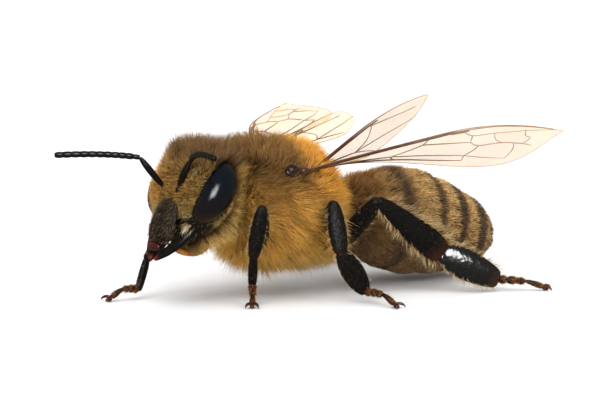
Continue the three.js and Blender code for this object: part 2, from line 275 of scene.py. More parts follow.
class Forge:
    """Makes meshes in millimetres and sets them into the frame in metres."""

    def __init__(self, origin: Vector) -> None:
        """Args:
        origin: the bee's own origin in the row frame, in metres.
        """
        self.origin = origin

    @staticmethod
    def ball(around: int, along: int, place: Place) -> bmesh.types.BMesh:
        """A unit ball pulled into shape; its poles lie on Z.

        Args:
            around: faces round the poles.
            along: faces from pole to pole.
            place: puts a point of the unit ball where it belongs.

        Returns:
            The mesh.
        """
        bm = bmesh.new()
        bmesh.ops.create_uvsphere(bm, u_segments=around, v_segments=along, radius=1.0)
        way = bm.verts.layers.float_vector.new("way")
        for vert in bm.verts:
            vert[way] = vert.co
            vert.co = place(vert.co.copy())
        if bm.calc_volume(signed=True) < 0:
            bmesh.ops.reverse_faces(bm, faces=bm.faces)
        return bm

    @classmethod
    def limb(
        cls,
        path: Path,
        wide: Share,
        thick: Share,
        facing: Vector,
        around: int = 20,
        along: int = 24,
        blunt: float = 0.45,
        square: float = 2.0,
    ) -> bmesh.types.BMesh:
        """A closed body round a path with rounded ends.

        Args:
            path: the middle line.
            wide: half-width along it.
            thick: half-thickness along it.
            facing: the way that its thin side looks.
            around: faces round it.
            along: faces along it.
            blunt: how blunt the ends are; 1 is a ball's, 0 is flat.
            square: 2 for a round section, more for a squarer one.

        Returns:
            The mesh.
        """

        def place(spot: Vector) -> Vector:
            """Puts a point of the unit ball on the limb."""
            t = (1.0 - spot.z) / 2.0
            ring = math.hypot(spot.x, spot.y)
            end = ring**blunt if ring > 1e-6 else 0.0
            tangent = path.heading(t)
            flat = (facing - tangent * facing.dot(tangent)).normalized()
            broad = tangent.cross(flat)
            x, y = (spot.x / ring, spot.y / ring) if ring > 1e-6 else (0.0, 0.0)
            corner = (abs(x) ** square + abs(y) ** square) ** (-1.0 / square) if ring > 1e-6 else 0.0
            return path.at(t) + broad * (x * corner * end * wide(t)) + flat * (y * corner * end * thick(t))

        return cls.ball(around, along, place)

    @staticmethod
    def joined(parts: Iterable[bmesh.types.BMesh]) -> bmesh.types.BMesh:
        """Several meshes as one.

        Args:
            parts: the meshes, which are used up.

        Returns:
            One mesh that holds them all.
        """
        whole = bmesh.new()
        for part in parts:
            carrier = bpy.data.meshes.new("carrier")
            part.to_mesh(carrier)
            part.free()
            whole.from_mesh(carrier)
            bpy.data.meshes.remove(carrier)
        return whole

    def piece(
        self,
        name: str,
        bm: bmesh.types.BMesh,
        finish: bpy.types.Material,
        slot: Slot,
        stands_for: Sequence[str] = (),
        paint: Callable[[np.ndarray, np.ndarray], np.ndarray] | None = None,
    ) -> Pelt:
        """Sets a mesh into the frame as a piece of the bee.

        Args:
            name: the piece's name.
            bm: its mesh in mm, which is used up.
            finish: its material.
            slot: its finish slot, passed on but not used.
            stands_for: the solids that it shows instead of.
            paint: gives each vertex its colour from its place and its way, if it has one.

        Returns:
            The piece as a pelt.
        """
        bm.normal_update()
        mesh = bpy.data.meshes.new(name)
        bm.to_mesh(mesh)
        bm.free()
        mesh.calc_loop_triangles()
        count = len(mesh.vertices)
        corners = np.zeros(count * 3)
        mesh.vertices.foreach_get("co", corners)
        corners = corners.reshape(-1, 3)
        normals = np.zeros(count * 3)
        mesh.vertices.foreach_get("normal", normals)
        faces = np.zeros(len(mesh.loop_triangles) * 3, int)
        mesh.loop_triangles.foreach_get("vertices", faces)
        way = np.zeros(count * 3)
        if "way" in mesh.attributes:
            mesh.attributes["way"].data.foreach_get("vector", way)
            mesh.attributes.remove(mesh.attributes["way"])
        pelt = Pelt(corners, normals.reshape(-1, 3), way.reshape(-1, 3), faces.reshape(-1, 3))
        if paint is not None:
            tint = mesh.attributes.new("tint", "FLOAT_COLOR", "POINT")
            rows = np.ones((count, 4))
            rows[:, :3] = paint(corners, pelt.way)
            tint.data.foreach_set("color", rows.ravel())
        mesh.vertices.foreach_set("co", (corners * MM + np.array(self.origin)).ravel())
        mesh.shade_smooth()
        mesh.materials.append(finish)
        self._mount(name, mesh, slot, stands_for)
        return pelt

    def array(
        self,
        name: str,
        corners: np.ndarray,
        faces: np.ndarray,
        tints: np.ndarray,
        patch: np.ndarray,
        finish: bpy.types.Material,
        slot: Slot,
    ) -> None:
        """Sets a coat, made as arrays, into the frame as one joined mesh.

        Args:
            name: the piece's name.
            corners: vertex places in mm.
            faces: corner numbers of each triangle.
            tints: the colour of each vertex.
            patch: the UV place of each vertex.
            finish: its material.
            slot: its finish slot, passed on but not used.
        """
        mesh = bpy.data.meshes.new(name)
        mesh.vertices.add(len(corners))
        mesh.vertices.foreach_set("co", (corners * MM + np.array(self.origin)).ravel())
        mesh.loops.add(faces.size)
        mesh.loops.foreach_set("vertex_index", faces.ravel())
        mesh.polygons.add(len(faces))
        mesh.polygons.foreach_set("loop_start", np.arange(0, faces.size, 3))
        mesh.update(calc_edges=True)
        tint = mesh.attributes.new("tint", "FLOAT_COLOR", "POINT")
        tint.data.foreach_set("color", np.column_stack([tints, np.ones(len(tints))]).ravel())
        unwrap = mesh.uv_layers.new(name="OFBake")
        unwrap.uv.foreach_set("vector", patch[faces.ravel()].ravel())
        mesh.shade_smooth()
        mesh.materials.append(finish)
        self._mount(name, mesh, slot, ())
        LOG.info("%s: %d triangles", name, len(faces))

    @staticmethod
    def _mount(name: str, mesh: bpy.types.Mesh, slot: Slot, stands_for: Sequence[str]) -> None:
        """Puts a mesh in the scene, hangs it on the bee's body and hides the solids that it stands for."""
        item = bpy.data.objects.new(name, mesh)
        bpy.context.scene.collection.objects.link(item)
        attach(item, BODY)
        if stands_for:
            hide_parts(*stands_for)


# ---------------------------------------------------------------- finishes


class Nodes:
    """Lays out the shader nodes of one material."""

    def __init__(self, name: str) -> None:
        """Args:
        name: the material's name.
        """
        self.material = bpy.data.materials.new(name)
        self.material.use_nodes = True
        self.tree = self.material.node_tree
        self.shader = self.tree.nodes["Principled BSDF"]

    def node(self, kind: str, **settings: object) -> bpy.types.Node:
        """Adds a node.

        Args:
            kind: its type.
            settings: its properties.

        Returns:
            The node.
        """
        made = self.tree.nodes.new(kind)
        for key, value in settings.items():
            setattr(made, key, value)
        return made

    def join(self, source: bpy.types.NodeSocket, target: bpy.types.NodeSocket) -> None:
        """Links two sockets."""
        self.tree.links.new(source, target)

    def place(self, scale: float) -> bpy.types.NodeSocket:
        """Object coordinates, counted in features.

        Args:
            scale: features for each mm.

        Returns:
            The vector socket.
        """
        source = self.node("ShaderNodeTexCoord").outputs["Object"]
        mapping = self.node("ShaderNodeMapping")
        mapping.inputs["Scale"].default_value = (scale / MM,) * 3
        self.join(source, mapping.inputs["Vector"])
        return mapping.outputs["Vector"]

    def noise(self, scale: float, detail: float = 3.0) -> bpy.types.NodeSocket:
        """A noise from 0 to 1.

        Args:
            scale: features for each mm.
            detail: how fine it goes.

        Returns:
            The factor socket.
        """
        made = self.node("ShaderNodeTexNoise")
        made.inputs["Scale"].default_value = 1.0
        made.inputs["Detail"].default_value = detail
        self.join(self.place(scale), made.inputs["Vector"])
        return made.outputs["Fac"]

    def ramp(
        self, factor: bpy.types.NodeSocket, stops: Sequence[tuple[float, Colour]]
    ) -> bpy.types.NodeSocket:
        """A colour ramp.

        Args:
            factor: what it reads.
            stops: places and colours.

        Returns:
            The colour socket.
        """
        made = self.node("ShaderNodeValToRGB")
        elements = made.color_ramp.elements
        while len(elements) < len(stops):
            elements.new(0.5)
        for element, (place, colour) in zip(elements, stops):
            element.position = place
            element.color = (*colour, 1.0)
        self.join(factor, made.inputs["Fac"])
        return made.outputs["Color"]

    def bump(self, height: bpy.types.NodeSocket, depth: float, strength: float = 1.0) -> None:
        """Roughens the surface.

        Args:
            height: the height map.
            depth: how deep it goes, in mm.
            strength: how much of it shows.
        """
        made = self.node("ShaderNodeBump")
        made.inputs["Strength"].default_value = strength
        made.inputs["Distance"].default_value = depth * MM
        self.join(height, made.inputs["Height"])
        self.join(made.outputs["Normal"], self.shader.inputs["Normal"])

    def set(self, **values: float | tuple) -> None:
        """Sets the shader's own inputs; _ in a name stands for a space.

        Args:
            values: input names and values.
        """
        for key, value in values.items():
            self.shader.inputs[key.replace("_", " ")].default_value = value


@dataclass(frozen=True)
class ShellFinish:
    """Glossy shell with a fine grain.

    Args:
        name: the material's name.
        dark: its deeper colour.
        light: its paler colour.
        roughness: how dull it is.
        grain: features for each mm.
        depth: how deep the grain goes, in mm.
        gloss: how strongly it shines.
    """

    name: str
    dark: Colour
    light: Colour
    roughness: float = 0.3
    grain: float = 14.0
    depth: float = 0.006
    gloss: float = 0.3

    def build(self) -> bpy.types.Material:
        """Makes the material."""
        nodes = Nodes(self.name)
        nodes.join(
            nodes.ramp(nodes.noise(2.2), [(0.35, self.dark), (0.7, self.light)]),
            nodes.shader.inputs["Base Color"],
        )
        nodes.set(Roughness=self.roughness, Specular_IOR_Level=self.gloss)
        nodes.bump(nodes.noise(self.grain, 2.0), self.depth)
        return nodes.material


@dataclass(frozen=True)
class TintFinish:
    """A surface that takes its colour from the markings.

    Args:
        name: the material's name.
        roughness: how dull it is.
        specular: how strongly it shines.
        grain: features of colour change for each mm.
        contrast: how much the colour changes.
        depth: bump depth in mm.
        pits: bumps for each mm.
    """

    name: str
    roughness: float = 0.5
    specular: float = 0.4
    grain: float = 9.0
    contrast: float = 0.25
    depth: float = 0.0
    pits: float = 30.0

    def build(self) -> bpy.types.Material:
        """Makes the material."""
        nodes = Nodes(self.name)
        tint = nodes.node("ShaderNodeAttribute", attribute_name="tint").outputs["Color"]
        low, high = 1.0 - self.contrast, 1.0 + self.contrast
        shade = nodes.ramp(nodes.noise(self.grain), [(0.3, (low,) * 3), (0.7, (high,) * 3)])
        mix = nodes.node("ShaderNodeMix", data_type="RGBA", blend_type="MULTIPLY")
        mix.inputs["Factor"].default_value = 1.0
        nodes.join(tint, mix.inputs["A"])
        nodes.join(shade, mix.inputs["B"])
        nodes.join(mix.outputs["Result"], nodes.shader.inputs["Base Color"])
        nodes.set(Roughness=self.roughness, Specular_IOR_Level=self.specular)
        if self.depth:
            nodes.bump(nodes.noise(self.pits, 2.0), self.depth)
        return nodes.material


@dataclass(frozen=True)
class EyeFinish:
    """The glossy facets of a compound eye, bluer above and browner below.

    Args:
        name: the material's name.
        facets: facets for each mm.
        low: height of the brown in the row frame, in mm.
        high: height of the blue.
    """

    name: str = "compound_eye"
    facets: float = 34.0
    low: float = 2.9
    high: float = 4.3

    def build(self) -> bpy.types.Material:
        """Makes the material."""
        nodes = Nodes(self.name)
        split = nodes.node("ShaderNodeSeparateXYZ")
        nodes.join(nodes.place(1.0), split.inputs["Vector"])
        height = nodes.node("ShaderNodeMapRange")
        height.inputs["From Min"].default_value = self.low
        height.inputs["From Max"].default_value = self.high
        nodes.join(split.outputs["Z"], height.inputs["Value"])
        colour = nodes.ramp(
            height.outputs["Result"],
            [(0.0, (0.026, 0.011, 0.006)), (0.4, (0.006, 0.004, 0.004)), (1.0, (0.002, 0.004, 0.007))],
        )
        nodes.join(colour, nodes.shader.inputs["Base Color"])
        cells = nodes.node("ShaderNodeTexVoronoi")
        cells.inputs["Scale"].default_value = 1.0
        cells.inputs["Randomness"].default_value = 0.25
        nodes.join(nodes.place(self.facets), cells.inputs["Vector"])
        nodes.set(Roughness=0.16, Specular_IOR_Level=0.30)
        nodes.bump(cells.outputs["Distance"], -0.004, 0.5)
        return nodes.material


@dataclass(frozen=True)
class MembraneFinish:
    """The clear, faintly tan skin of a wing.

    Args:
        name: the material's name.
        tint: its colour.
        cover: how much of what lies behind it hides.
    """

    name: str = "wing_membrane"
    tint: Colour = (0.74, 0.46, 0.15)
    cover: float = 0.29

    def build(self) -> bpy.types.Material:
        """Makes the material."""
        nodes = Nodes(self.name)
        nodes.join(
            nodes.ramp(nodes.noise(0.9), [(0.3, self.tint), (0.75, (0.84, 0.62, 0.32))]),
            nodes.shader.inputs["Base Color"],
        )
        nodes.set(Roughness=0.35, Alpha=self.cover, Specular_IOR_Level=0.15)
        nodes.bump(nodes.noise(1.5, 1.0), 0.02, 0.4)
        return nodes.material


class Palette:
    """Every finish of the bee, built once."""

    def __init__(self) -> None:
        """Builds the materials."""
        self.shell = ShellFinish(
            "black_shell", (0.004, 0.0035, 0.003), (0.010, 0.007, 0.005), gloss=0.16
        ).build()
        self.scale = ShellFinish(
            "scale_shell", (0.006, 0.005, 0.005), (0.03, 0.014, 0.010), 0.16, gloss=0.25
        ).build()
        self.lip = ShellFinish(
            "red_brown_shell", (0.014, 0.004, 0.003), (0.075, 0.014, 0.006), 0.22, gloss=0.3
        ).build()
        self.shield = ShellFinish(
            "face_shield_shell", (0.006, 0.005, 0.004), (0.018, 0.012, 0.008), 0.5, 16.0, 0.02, 0.08
        ).build()
        self.sclerite = ShellFinish(
            "wing_root_shell", (0.03, 0.012, 0.010), (0.09, 0.035, 0.022), 0.22
        ).build()
        self.tongue = ShellFinish(
            "amber_shell", (0.10, 0.022, 0.004), (0.52, 0.19, 0.03), 0.22, gloss=0.25
        ).build()
        self.claw = ShellFinish("claw_shell", (0.03, 0.008, 0.004), (0.12, 0.032, 0.01), 0.22).build()
        self.vein = TintFinish("wing_vein", 0.38, 0.15, 2.0, 0.25).build()
        self.skin = TintFinish("body_skin", 0.40, 0.12, 9.0, 0.25, 0.012).build()
        self.plate = TintFinish("belly_plate", 0.34, 0.16, 7.0, 0.25, 0.008).build()
        self.leg = TintFinish("leg_shell", 0.22, 0.07, 7.0, 0.25, 0.035, 14.0).build()
        self.broad = TintFinish("broad_joint_shell", 0.14, 0.5, 7.0, 0.25, 0.035, 2.2).build()
        self.jaw = TintFinish("jaw_shell", 0.20, 0.10, 7.0, 0.25, 0.006).build()
        self.hair = TintFinish("golden_hair", 0.45, 0.08, 12.0, 0.2).build()
        self.eye = EyeFinish().build()
        self.membrane = MembraneFinish().build()


# ---------------------------------------------------------------- hair


@dataclass(frozen=True)
class Fur:
    """How the hair of one stretch of skin grows. Its fields read places, normals and ways, a row each.

    Args:
        density: hairs for each square mm.
        length: length of each hair in mm.
        lie: the way that each hair leans.
        root: its colour at the skin, darker than the tip as painted shade deep in the coat.
        tip: its colour at the end.
        where: how thickly it grows there, from 0 to 1.
        radius: its radius at the root in mm.
        bend: how far the tip strays, as a share of the length.
        clump: the width of the locks that hairs gather in, in mm.
        gather: how far a hair goes towards the middle of its lock.
        wave: the length of the waves that run through the coat, in mm.
        ragged: how uneven the lengths are, as a share.
        spike: a straight hair of four faces instead of a bent one of ten.
    """

    density: float
    length: Field
    lie: Field
    root: Field
    tip: Field
    where: Field
    radius: float = 0.013
    bend: float = 0.25
    clump: float = 0.16
    gather: float = 0.5
    wave: float = 0.7
    ragged: float = 0.4
    spike: bool = False


class Coat:
    """Grows hair on pelts and weaves it into joined pieces.

    LIMIT is the most triangles in a piece, SINK how deep roots stand under the skin, FLOOR the lowest height
    of a hair, both in mm, and PATCH the size of a hair's UV patch. WANDER and JITTER are how far hairs stray
    from the lie together and alone, and RAISED the least share by which they stand off the skin. THICKNESS
    and SHADES are the ranges that a hair's radius and brightness vary in. BENT and SPIKE are the faces of the
    two kinds of hair.
    """

    LIMIT = 195_000
    SINK = 0.03
    FLOOR = 0.01
    PATCH = 0.003
    WANDER = 0.28
    JITTER = 0.16
    RAISED = 0.12
    THICKNESS = (0.75, 1.2)
    SHADES = (0.68, 1.26)
    BENT = np.array(
        [
            [0, 2, 1], [0, 1, 4], [0, 4, 3], [1, 2, 5], [1, 5, 4],
            [2, 0, 3], [2, 3, 5], [3, 4, 6], [4, 5, 6], [5, 3, 6],
        ]
    )
    SPIKE = np.array([[0, 2, 1], [0, 1, 3], [1, 2, 3], [2, 0, 3]])
    RING = np.array([0.0, 2.0, 4.0]) * math.pi / 3.0

    def __init__(self, forge: Forge, finish: bpy.types.Material, name: str, slot: Slot, seed: int) -> None:
        """Args:
        forge: sets the pieces into the frame.
        finish: the hair's material.
        name: the start of the pieces' names.
        slot: their finish slot, passed on but not used.
        seed: the coat's own random seed.
        """
        self.forge = forge
        self.finish = finish
        self.name = name
        self.slot = slot
        self.rng = np.random.default_rng(seed)
        self.seed = seed
        self.strands: list[tuple[np.ndarray, np.ndarray, np.ndarray, np.ndarray]] = []

    def _scatter(self, pelt: Pelt, fur: Fur) -> tuple[np.ndarray, np.ndarray, np.ndarray]:
        """Picks the roots of the hairs on a pelt.

        Args:
            pelt: the skin.
            fur: the hair to grow.

        Returns:
            Root places, normals and ways.
        """
        places = pelt.corners[pelt.faces]
        normals = pelt.normals[pelt.faces]
        ways = pelt.way[pelt.faces]
        area = np.linalg.norm(np.cross(places[:, 1] - places[:, 0], places[:, 2] - places[:, 0]), axis=1) / 2
        share = np.clip(fur.where(places.mean(1), unit(normals.mean(1)), ways.mean(1)), 0.0, 1.0) * area
        count = int(fur.density * share.sum())
        picked = self.rng.choice(len(share), size=count, p=share / share.sum())
        weights = self.rng.dirichlet((1.0, 1.0, 1.0), size=count)[:, :, None]
        return (
            (places[picked] * weights).sum(1),
            unit((normals[picked] * weights).sum(1)),
            (ways[picked] * weights).sum(1),
        )

    def _locks(self, roots: np.ndarray, width: float) -> tuple[np.ndarray, np.ndarray]:
        """The way from each root to the middle of its lock, and the lock's tone.

        Args:
            roots: root places.
            width: the width of a lock.

        Returns:
            Offsets in mm, and a tone from 0 to 1.
        """
        cell = np.floor(roots / width + 1000.0).astype(np.int64)
        mixed = (cell * np.array([73856093, 19349663, 83492791])).sum(1) + self.seed
        jitter = np.stack([((mixed * k) % 1013) / 1013.0 for k in (1, 7, 31)], axis=1)
        return (cell - 1000.0 + 0.2 + 0.6 * jitter) * width - roots, ((mixed * 13) % 1013)[:, None] / 1013.0

    def grow(self, pelt: Pelt, fur: Fur, tile: Tile = (0.0, 0.0, 1.0, 1.0)) -> None:
        """Grows hair on a pelt.

        Args:
            pelt: the skin.
            fur: the hair.
            tile: left, bottom, width and height of the skin's share of the UV square.
        """
        roots, normals, ways = self._scatter(pelt, fur)
        count = len(roots)
        vary = 1.1 - fur.ragged * self.rng.uniform(0.0, 1.0, size=count)
        length = (fur.length(roots, normals, ways) * vary)[:, None]
        lean = unit(fur.lie(roots, normals, ways)) + self.JITTER * self.rng.normal(size=(count, 3))
        lean += self.WANDER * ripple(roots, fur.wave, self.seed)
        sunk = np.minimum((lean * normals).sum(1, keepdims=True) - self.RAISED, 0.0)
        lean = unit(lean - normals * sunk)
        lock, tone = self._locks(roots, fur.clump)
        lock *= fur.gather
        lock -= normals * (lock * normals).sum(1, keepdims=True)
        stray = fur.bend * length * ripple(roots, fur.wave * 0.6, self.seed + 9) * 0.6
        stray += fur.bend * length * 0.4 * self.rng.normal(size=(count, 3)) * 0.5 + lock
        dips = np.minimum((stray * normals).sum(1, keepdims=True), 0.0)
        stray -= normals * dips
        across = unit(np.cross(lean, normals + 0.37 * self.rng.normal(size=(count, 3))))
        deep = np.cross(lean, across)
        turn = self.rng.uniform(0, 2 * math.pi, size=(count, 1)) + self.RING
        # Rows of the ring run anticlockwise as seen from the tip.
        ring = across[:, None] * np.cos(turn)[..., None] + deep[:, None] * np.sin(turn)[..., None]
        thick = fur.radius * self.rng.uniform(*self.THICKNESS, size=(count, 1, 1))
        base = (roots - normals * self.SINK)[:, None] + ring * thick
        tip = (roots + lean * length + stray)[:, None]
        tip[..., 2] = np.maximum(tip[..., 2], self.FLOOR)
        # The root colours are darker than the tips as painted shade deep in the coat; the shades below are
        # random tone.
        start = fur.root(roots, normals, ways)
        end = fur.tip(roots, normals, ways)
        shade = self.rng.uniform(*self.SHADES, size=(count, 1)) * (0.62 + 0.72 * tone)
        shade *= 1.0 + 0.14 * ripple(roots, 0.55, self.seed + 3)[:, :1]
        start, end = start * shade, end * shade
        u = (np.arctan2(ways[:, 1], ways[:, 0]) / (2 * math.pi) + 0.5) * tile[2] * 0.99 + tile[0]
        v = np.arccos(np.clip(unit(ways)[:, 2], -1, 1)) / math.pi * tile[3] * 0.99 + tile[1]
        corner = np.stack([u, v], axis=1)[:, None]
        if fur.spike:
            places = np.concatenate([base, tip], axis=1)
            tints = np.stack([start, start, start, end], axis=1)
            patch = corner + np.array([[0, 0], [1, 0], [0.5, 0.2], [0.5, 1]]) * self.PATCH
            faces = self.SPIKE
        else:
            middle = (roots + lean * length * 0.5 + stray * 0.25)[:, None] + ring * thick * 0.7
            middle[..., 2] = np.maximum(middle[..., 2], self.FLOOR)
            # The middle ring mixes root and tip, so the painted shade fades out along the hair.
            half = start * 0.42 + end * 0.58
            places = np.concatenate([base, middle, tip], axis=1)
            tints = np.stack([start, start, start, half, half, half, end], axis=1)
            spots = [[0, 0], [1, 0], [0.5, 0.1], [0, 0.5], [1, 0.5], [0.5, 0.6], [0.5, 1]]
            patch = corner + np.array(spots) * self.PATCH
            faces = self.BENT
        self.strands.append((places, tints, patch, faces))

    def weave(self) -> None:
        """Sets the grown hair into the frame, in as many pieces as its size asks for."""
        total = sum(len(places) * len(faces) for places, _, _, faces in self.strands)
        shares = max(1, math.ceil(total / self.LIMIT))
        for share in range(shares):
            corners, tints, patches, faces = [], [], [], []
            first = 0
            for places, tint, patch, pattern in self.strands:
                part = slice(share, None, shares)
                chosen = places[part]
                count, ring = chosen.shape[:2]
                corners.append(chosen.reshape(-1, 3))
                tints.append(tint[part].reshape(-1, 3))
                patches.append(patch[part].reshape(-1, 2))
                starts = first + ring * np.arange(count)
                faces.append((pattern[None] + starts[:, None, None]).reshape(-1, 3))
                first += count * ring
            name = f"{self.name}_{share + 1}" if shares > 1 else self.name
            self.forge.array(
                name,
                np.concatenate(corners),
                np.concatenate(faces),
                np.clip(np.concatenate(tints), 0.0, 1.0),
                np.concatenate(patches),
                self.finish,
                self.slot,
            )


def even(value: float) -> Field:
    """A field that is the same everywhere.

    Args:
        value: its value.

    Returns:
        The field.
    """
    return lambda places, normals, ways: np.full(len(places), value)


def plain(colour: Colour) -> Field:
    """A colour field that is the same everywhere.

    Args:
        colour: the colour.

    Returns:
        The field.
    """
    return lambda places, normals, ways: np.tile(np.asarray(colour), (len(places), 1))


# ---------------------------------------------------------------- head


@dataclass(frozen=True)
class HeadSize:
    """Sizes of the head in mm, in its own frame: x to the bee's left, -y to the front, z up."""

    centre: tuple[float, float, float] = (0.0, -3.81, 3.72)
    turn: tuple[float, float, float] = (-19.0, -3.0, 7.0)
    half_width: float = 1.66
    top: float = 1.66
    bottom: float = 1.66
    front: float = 0.80
    rear: float = 1.14
    crown: float = 1.2
    narrowing: float = 0.30
    hollow: float = 0.08
    square: float = 2.6
    eye_at: tuple[float, float, float] = (1.47, 0.05, 0.26)
    eye_radii: tuple[float, float, float] = (0.52, 0.62, 1.14)
    eye_curl: float = 0.30
    eye_lean: float = 0.28
    socket: tuple[float, float, float] = (0.40, -0.84, 0.10)
    clypeus_at: tuple[float, float, float] = (0.0, -0.84, -1.0)
    clypeus_radii: tuple[float, float, float] = (0.66, 0.25, 0.82)


class HeadFrame:
    """Turns places between the head's frame and the bee's."""

    def __init__(self, size: HeadSize) -> None:
        """Args:
        size: the head's sizes.
        """
        pitch, roll, yaw = (math.radians(a) for a in size.turn)
        aim = Matrix.Rotation(yaw, 3, "Z") @ Matrix.Rotation(pitch, 3, "X")
        self.turn = aim @ Matrix.Rotation(roll, 3, "Y")
        self.centre = Vector(size.centre)
        self.face = self.turn @ Vector((0, -1, 0))

    def out(self, x: float, y: float, z: float) -> Vector:
        """A place in the head as a place in the bee."""
        return self.turn @ Vector((x, y, z)) + self.centre

    def inside(self, places: np.ndarray) -> np.ndarray:
        """Rows of places in the bee as rows in the head."""
        return (places - np.array(self.centre)) @ np.array(self.turn)

    def ways(self, rows: np.ndarray) -> np.ndarray:
        """Rows of directions in the head as rows in the bee."""
        return rows @ np.array(self.turn).T


class Head:
    """The head with its eyes, jaws, lip, tongue and hair."""

    def __init__(self, forge: Forge, palette: Palette, size: HeadSize = HeadSize()) -> None:
        """Args:
        forge: sets pieces into the frame.
        palette: the finishes.
        size: the head's sizes.
        """
        self.forge = forge
        self.palette = palette
        self.size = size
        self.frame = HeadFrame(size)
        self.shield: Pelt | None = None

    def _skin_point(self, way: Vector) -> Vector:
        """Where a point of the unit ball lies on the head's shell, in the head's frame."""
        s = self.size
        down = max(0.0, -way.z)
        ring = math.hypot(way.x, way.y)
        x, y = (abs(way.x) / ring, abs(way.y) / ring) if ring > 1e-6 else (1.0, 0.0)
        corner = (x**s.square + y**s.square) ** (-1.0 / s.square)
        fuller = max(ring, 0.2) ** -0.22 if way.z < 0 else max(ring, 0.2) ** -0.1
        width = s.half_width * (1 - s.narrowing * down) * corner * fuller
        depth = s.front if way.y < 0 else s.rear * (1 - s.hollow * down)
        depth *= corner * (1 - 0.25 * down if way.y < 0 else 1)
        height = s.top if way.z > 0 else s.bottom
        if way.y > 0 and way.z > 0:
            power = 2.0 + s.crown
            reach = math.hypot(way.y, way.z)
            full = ((way.y / reach) ** power + (way.z / reach) ** power) ** (-1.0 / power)
            depth, height = depth * full, height * full
        return Vector((way.x * width, way.y * depth, way.z * height))

    def _eye_gap(self, places: np.ndarray) -> np.ndarray:
        """How far rows of places lie from the nearer eye, 1 on its surface."""
        s = self.size
        local = self.frame.inside(places)
        rise = (local[:, 2] - s.eye_at[2]) / s.eye_radii[2]
        across = (np.abs(local[:, 0]) - s.eye_at[0] + s.eye_curl * rise**2) / s.eye_radii[0]
        deep = (local[:, 1] - s.eye_at[1] - s.eye_lean * rise) / s.eye_radii[1]
        return np.sqrt(rise**2 + across**2 + deep**2)

    def build(self) -> None:
        """Makes every piece of the head."""
        shell = Forge.ball(96, 64, lambda way: self.frame.out(*self._skin_point(way)))
        pelt = self.forge.piece("head_shell", shell, self.palette.skin, Slot.FACE, ["head"], self._skin_paint)
        for side in Side:
            self._eye(side)
            self._jaw(side)
        self._mouth()
        self._ocelli()
        self._hair(pelt)

    def _skin_paint(self, places: np.ndarray, ways: np.ndarray) -> np.ndarray:
        """The colours of the head's shell: black-brown, warmer at the lower rim."""
        return blend((0.008, 0.006, 0.004), (0.04, 0.020, 0.009), 0.6 * smooth(0.1, 0.9, ways[:, 2]))

    def _eye(self, side: Side) -> None:
        """One compound eye."""
        s = self.size

        def place(way: Vector) -> Vector:
            """Puts a point of the unit ball on the eye."""
            across = side.value * (s.eye_at[0] - s.eye_curl * way.z**2) + way.x * s.eye_radii[0]
            return self.frame.out(
                across,
                s.eye_at[1] + s.eye_lean * way.z + way.y * s.eye_radii[1],
                s.eye_at[2] + way.z * s.eye_radii[2],
            )

        eye = Forge.ball(56, 40, place)
        self.forge.piece(f"compound_eye_{side.word}", eye, self.palette.eye, Slot.EYE, [f"eye_{side.word}"])

    def _jaw(self, side: Side) -> None:
        """One jaw, black with a red-brown tip."""
        hand = side.value
        base, bulge, tip = ((0.98, -0.16, -0.98), (0.84, -0.66, -1.84), (0.1, -0.94, -2.42))
        path = Path.arc(*(self.frame.out(hand * x, y, z) for x, y, z in (base, bulge, tip)))
        wide, thick = run([0.27, 0.24, 0.21, 0.19, 0.13]), run([0.22, 0.19, 0.14, 0.1, 0.07])
        jaw = Forge.limb(path, wide, thick, self.frame.face)

        def paint(places: Rows, ways: Rows) -> Rows:
            """Red-brown towards the tip."""
            return blend((0.006, 0.005, 0.004), (0.12, 0.020, 0.008), smooth(-0.72, -0.98, ways[:, 2]))

        name = f"mandible_{side.word}"
        self.forge.piece(f"jaw_{side.word}", jaw, self.palette.jaw, Slot.SHELL, [name], paint)

    def _mouth(self) -> None:
        """The shield of the face, the lip and the folded tongue."""
        s = self.size

        def shield(way: Vector) -> Vector:
            """A low dome on the face, narrower below."""
            x, y, z = s.clypeus_at
            wide = s.clypeus_radii[0] * (1 - 0.16 * way.z) * max(math.hypot(way.x, way.y), 0.3) ** -0.4
            deep = s.clypeus_radii[1] * (1 - 0.25 * way.x**2)
            high = s.clypeus_radii[2]
            return self.frame.out(x + way.x * wide, y + way.y * deep + 0.05 * way.z, z + way.z * high)

        def rim(way: Vector) -> Vector:
            """The red-brown edge under the shield."""
            return self.frame.out(way.x * 0.58, -0.96 + way.y * 0.16 + 0.14 * way.x**2, -1.78 + way.z * 0.06)

        def lip(way: Vector) -> Vector:
            """The upper lip."""
            return self.frame.out(way.x * 0.34, -1.02 + way.y * 0.12, -1.98 + way.z * 0.16)

        dome = Forge.ball(48, 32, shield)
        pelt = self.forge.piece("clypeus", dome, self.palette.shield, Slot.SHELL)
        self.forge.piece("clypeus_rim", Forge.ball(32, 16, rim), self.palette.lip, Slot.LIP)
        self.forge.piece("upper_lip", Forge.ball(32, 20, lip), self.palette.lip, Slot.LIP, ["labrum"])
        sheath = Path(
            ((0.0, -4.62, 2.12), (0.0, -4.25, 1.86), (0.0, -3.8, 1.73), (0.0, -3.4, 1.79), (0.0, -3.1, 1.98))
        )
        wide, thick = run([0.08, 0.12, 0.12, 0.09]), run([0.07, 0.09, 0.09, 0.08])
        parts = [Forge.limb(sheath, wide, thick, Vector((0, 0, 1)))]
        wide, thick = run([0.06, 0.10, 0.10, 0.06]), run([0.05, 0.07, 0.07, 0.05])
        for side in Side:
            hand = side.value
            blade = Path(tuple((hand * 0.17, y, z + 0.03) for _, y, z in sheath.points))
            parts.append(Forge.limb(blade, wide, thick, Vector((hand, 0, 0))))
        tongue = Forge.joined(parts)
        self.forge.piece("folded_tongue", tongue, self.palette.tongue, Slot.TONGUE, ["proboscis"])
        self.shield = pelt

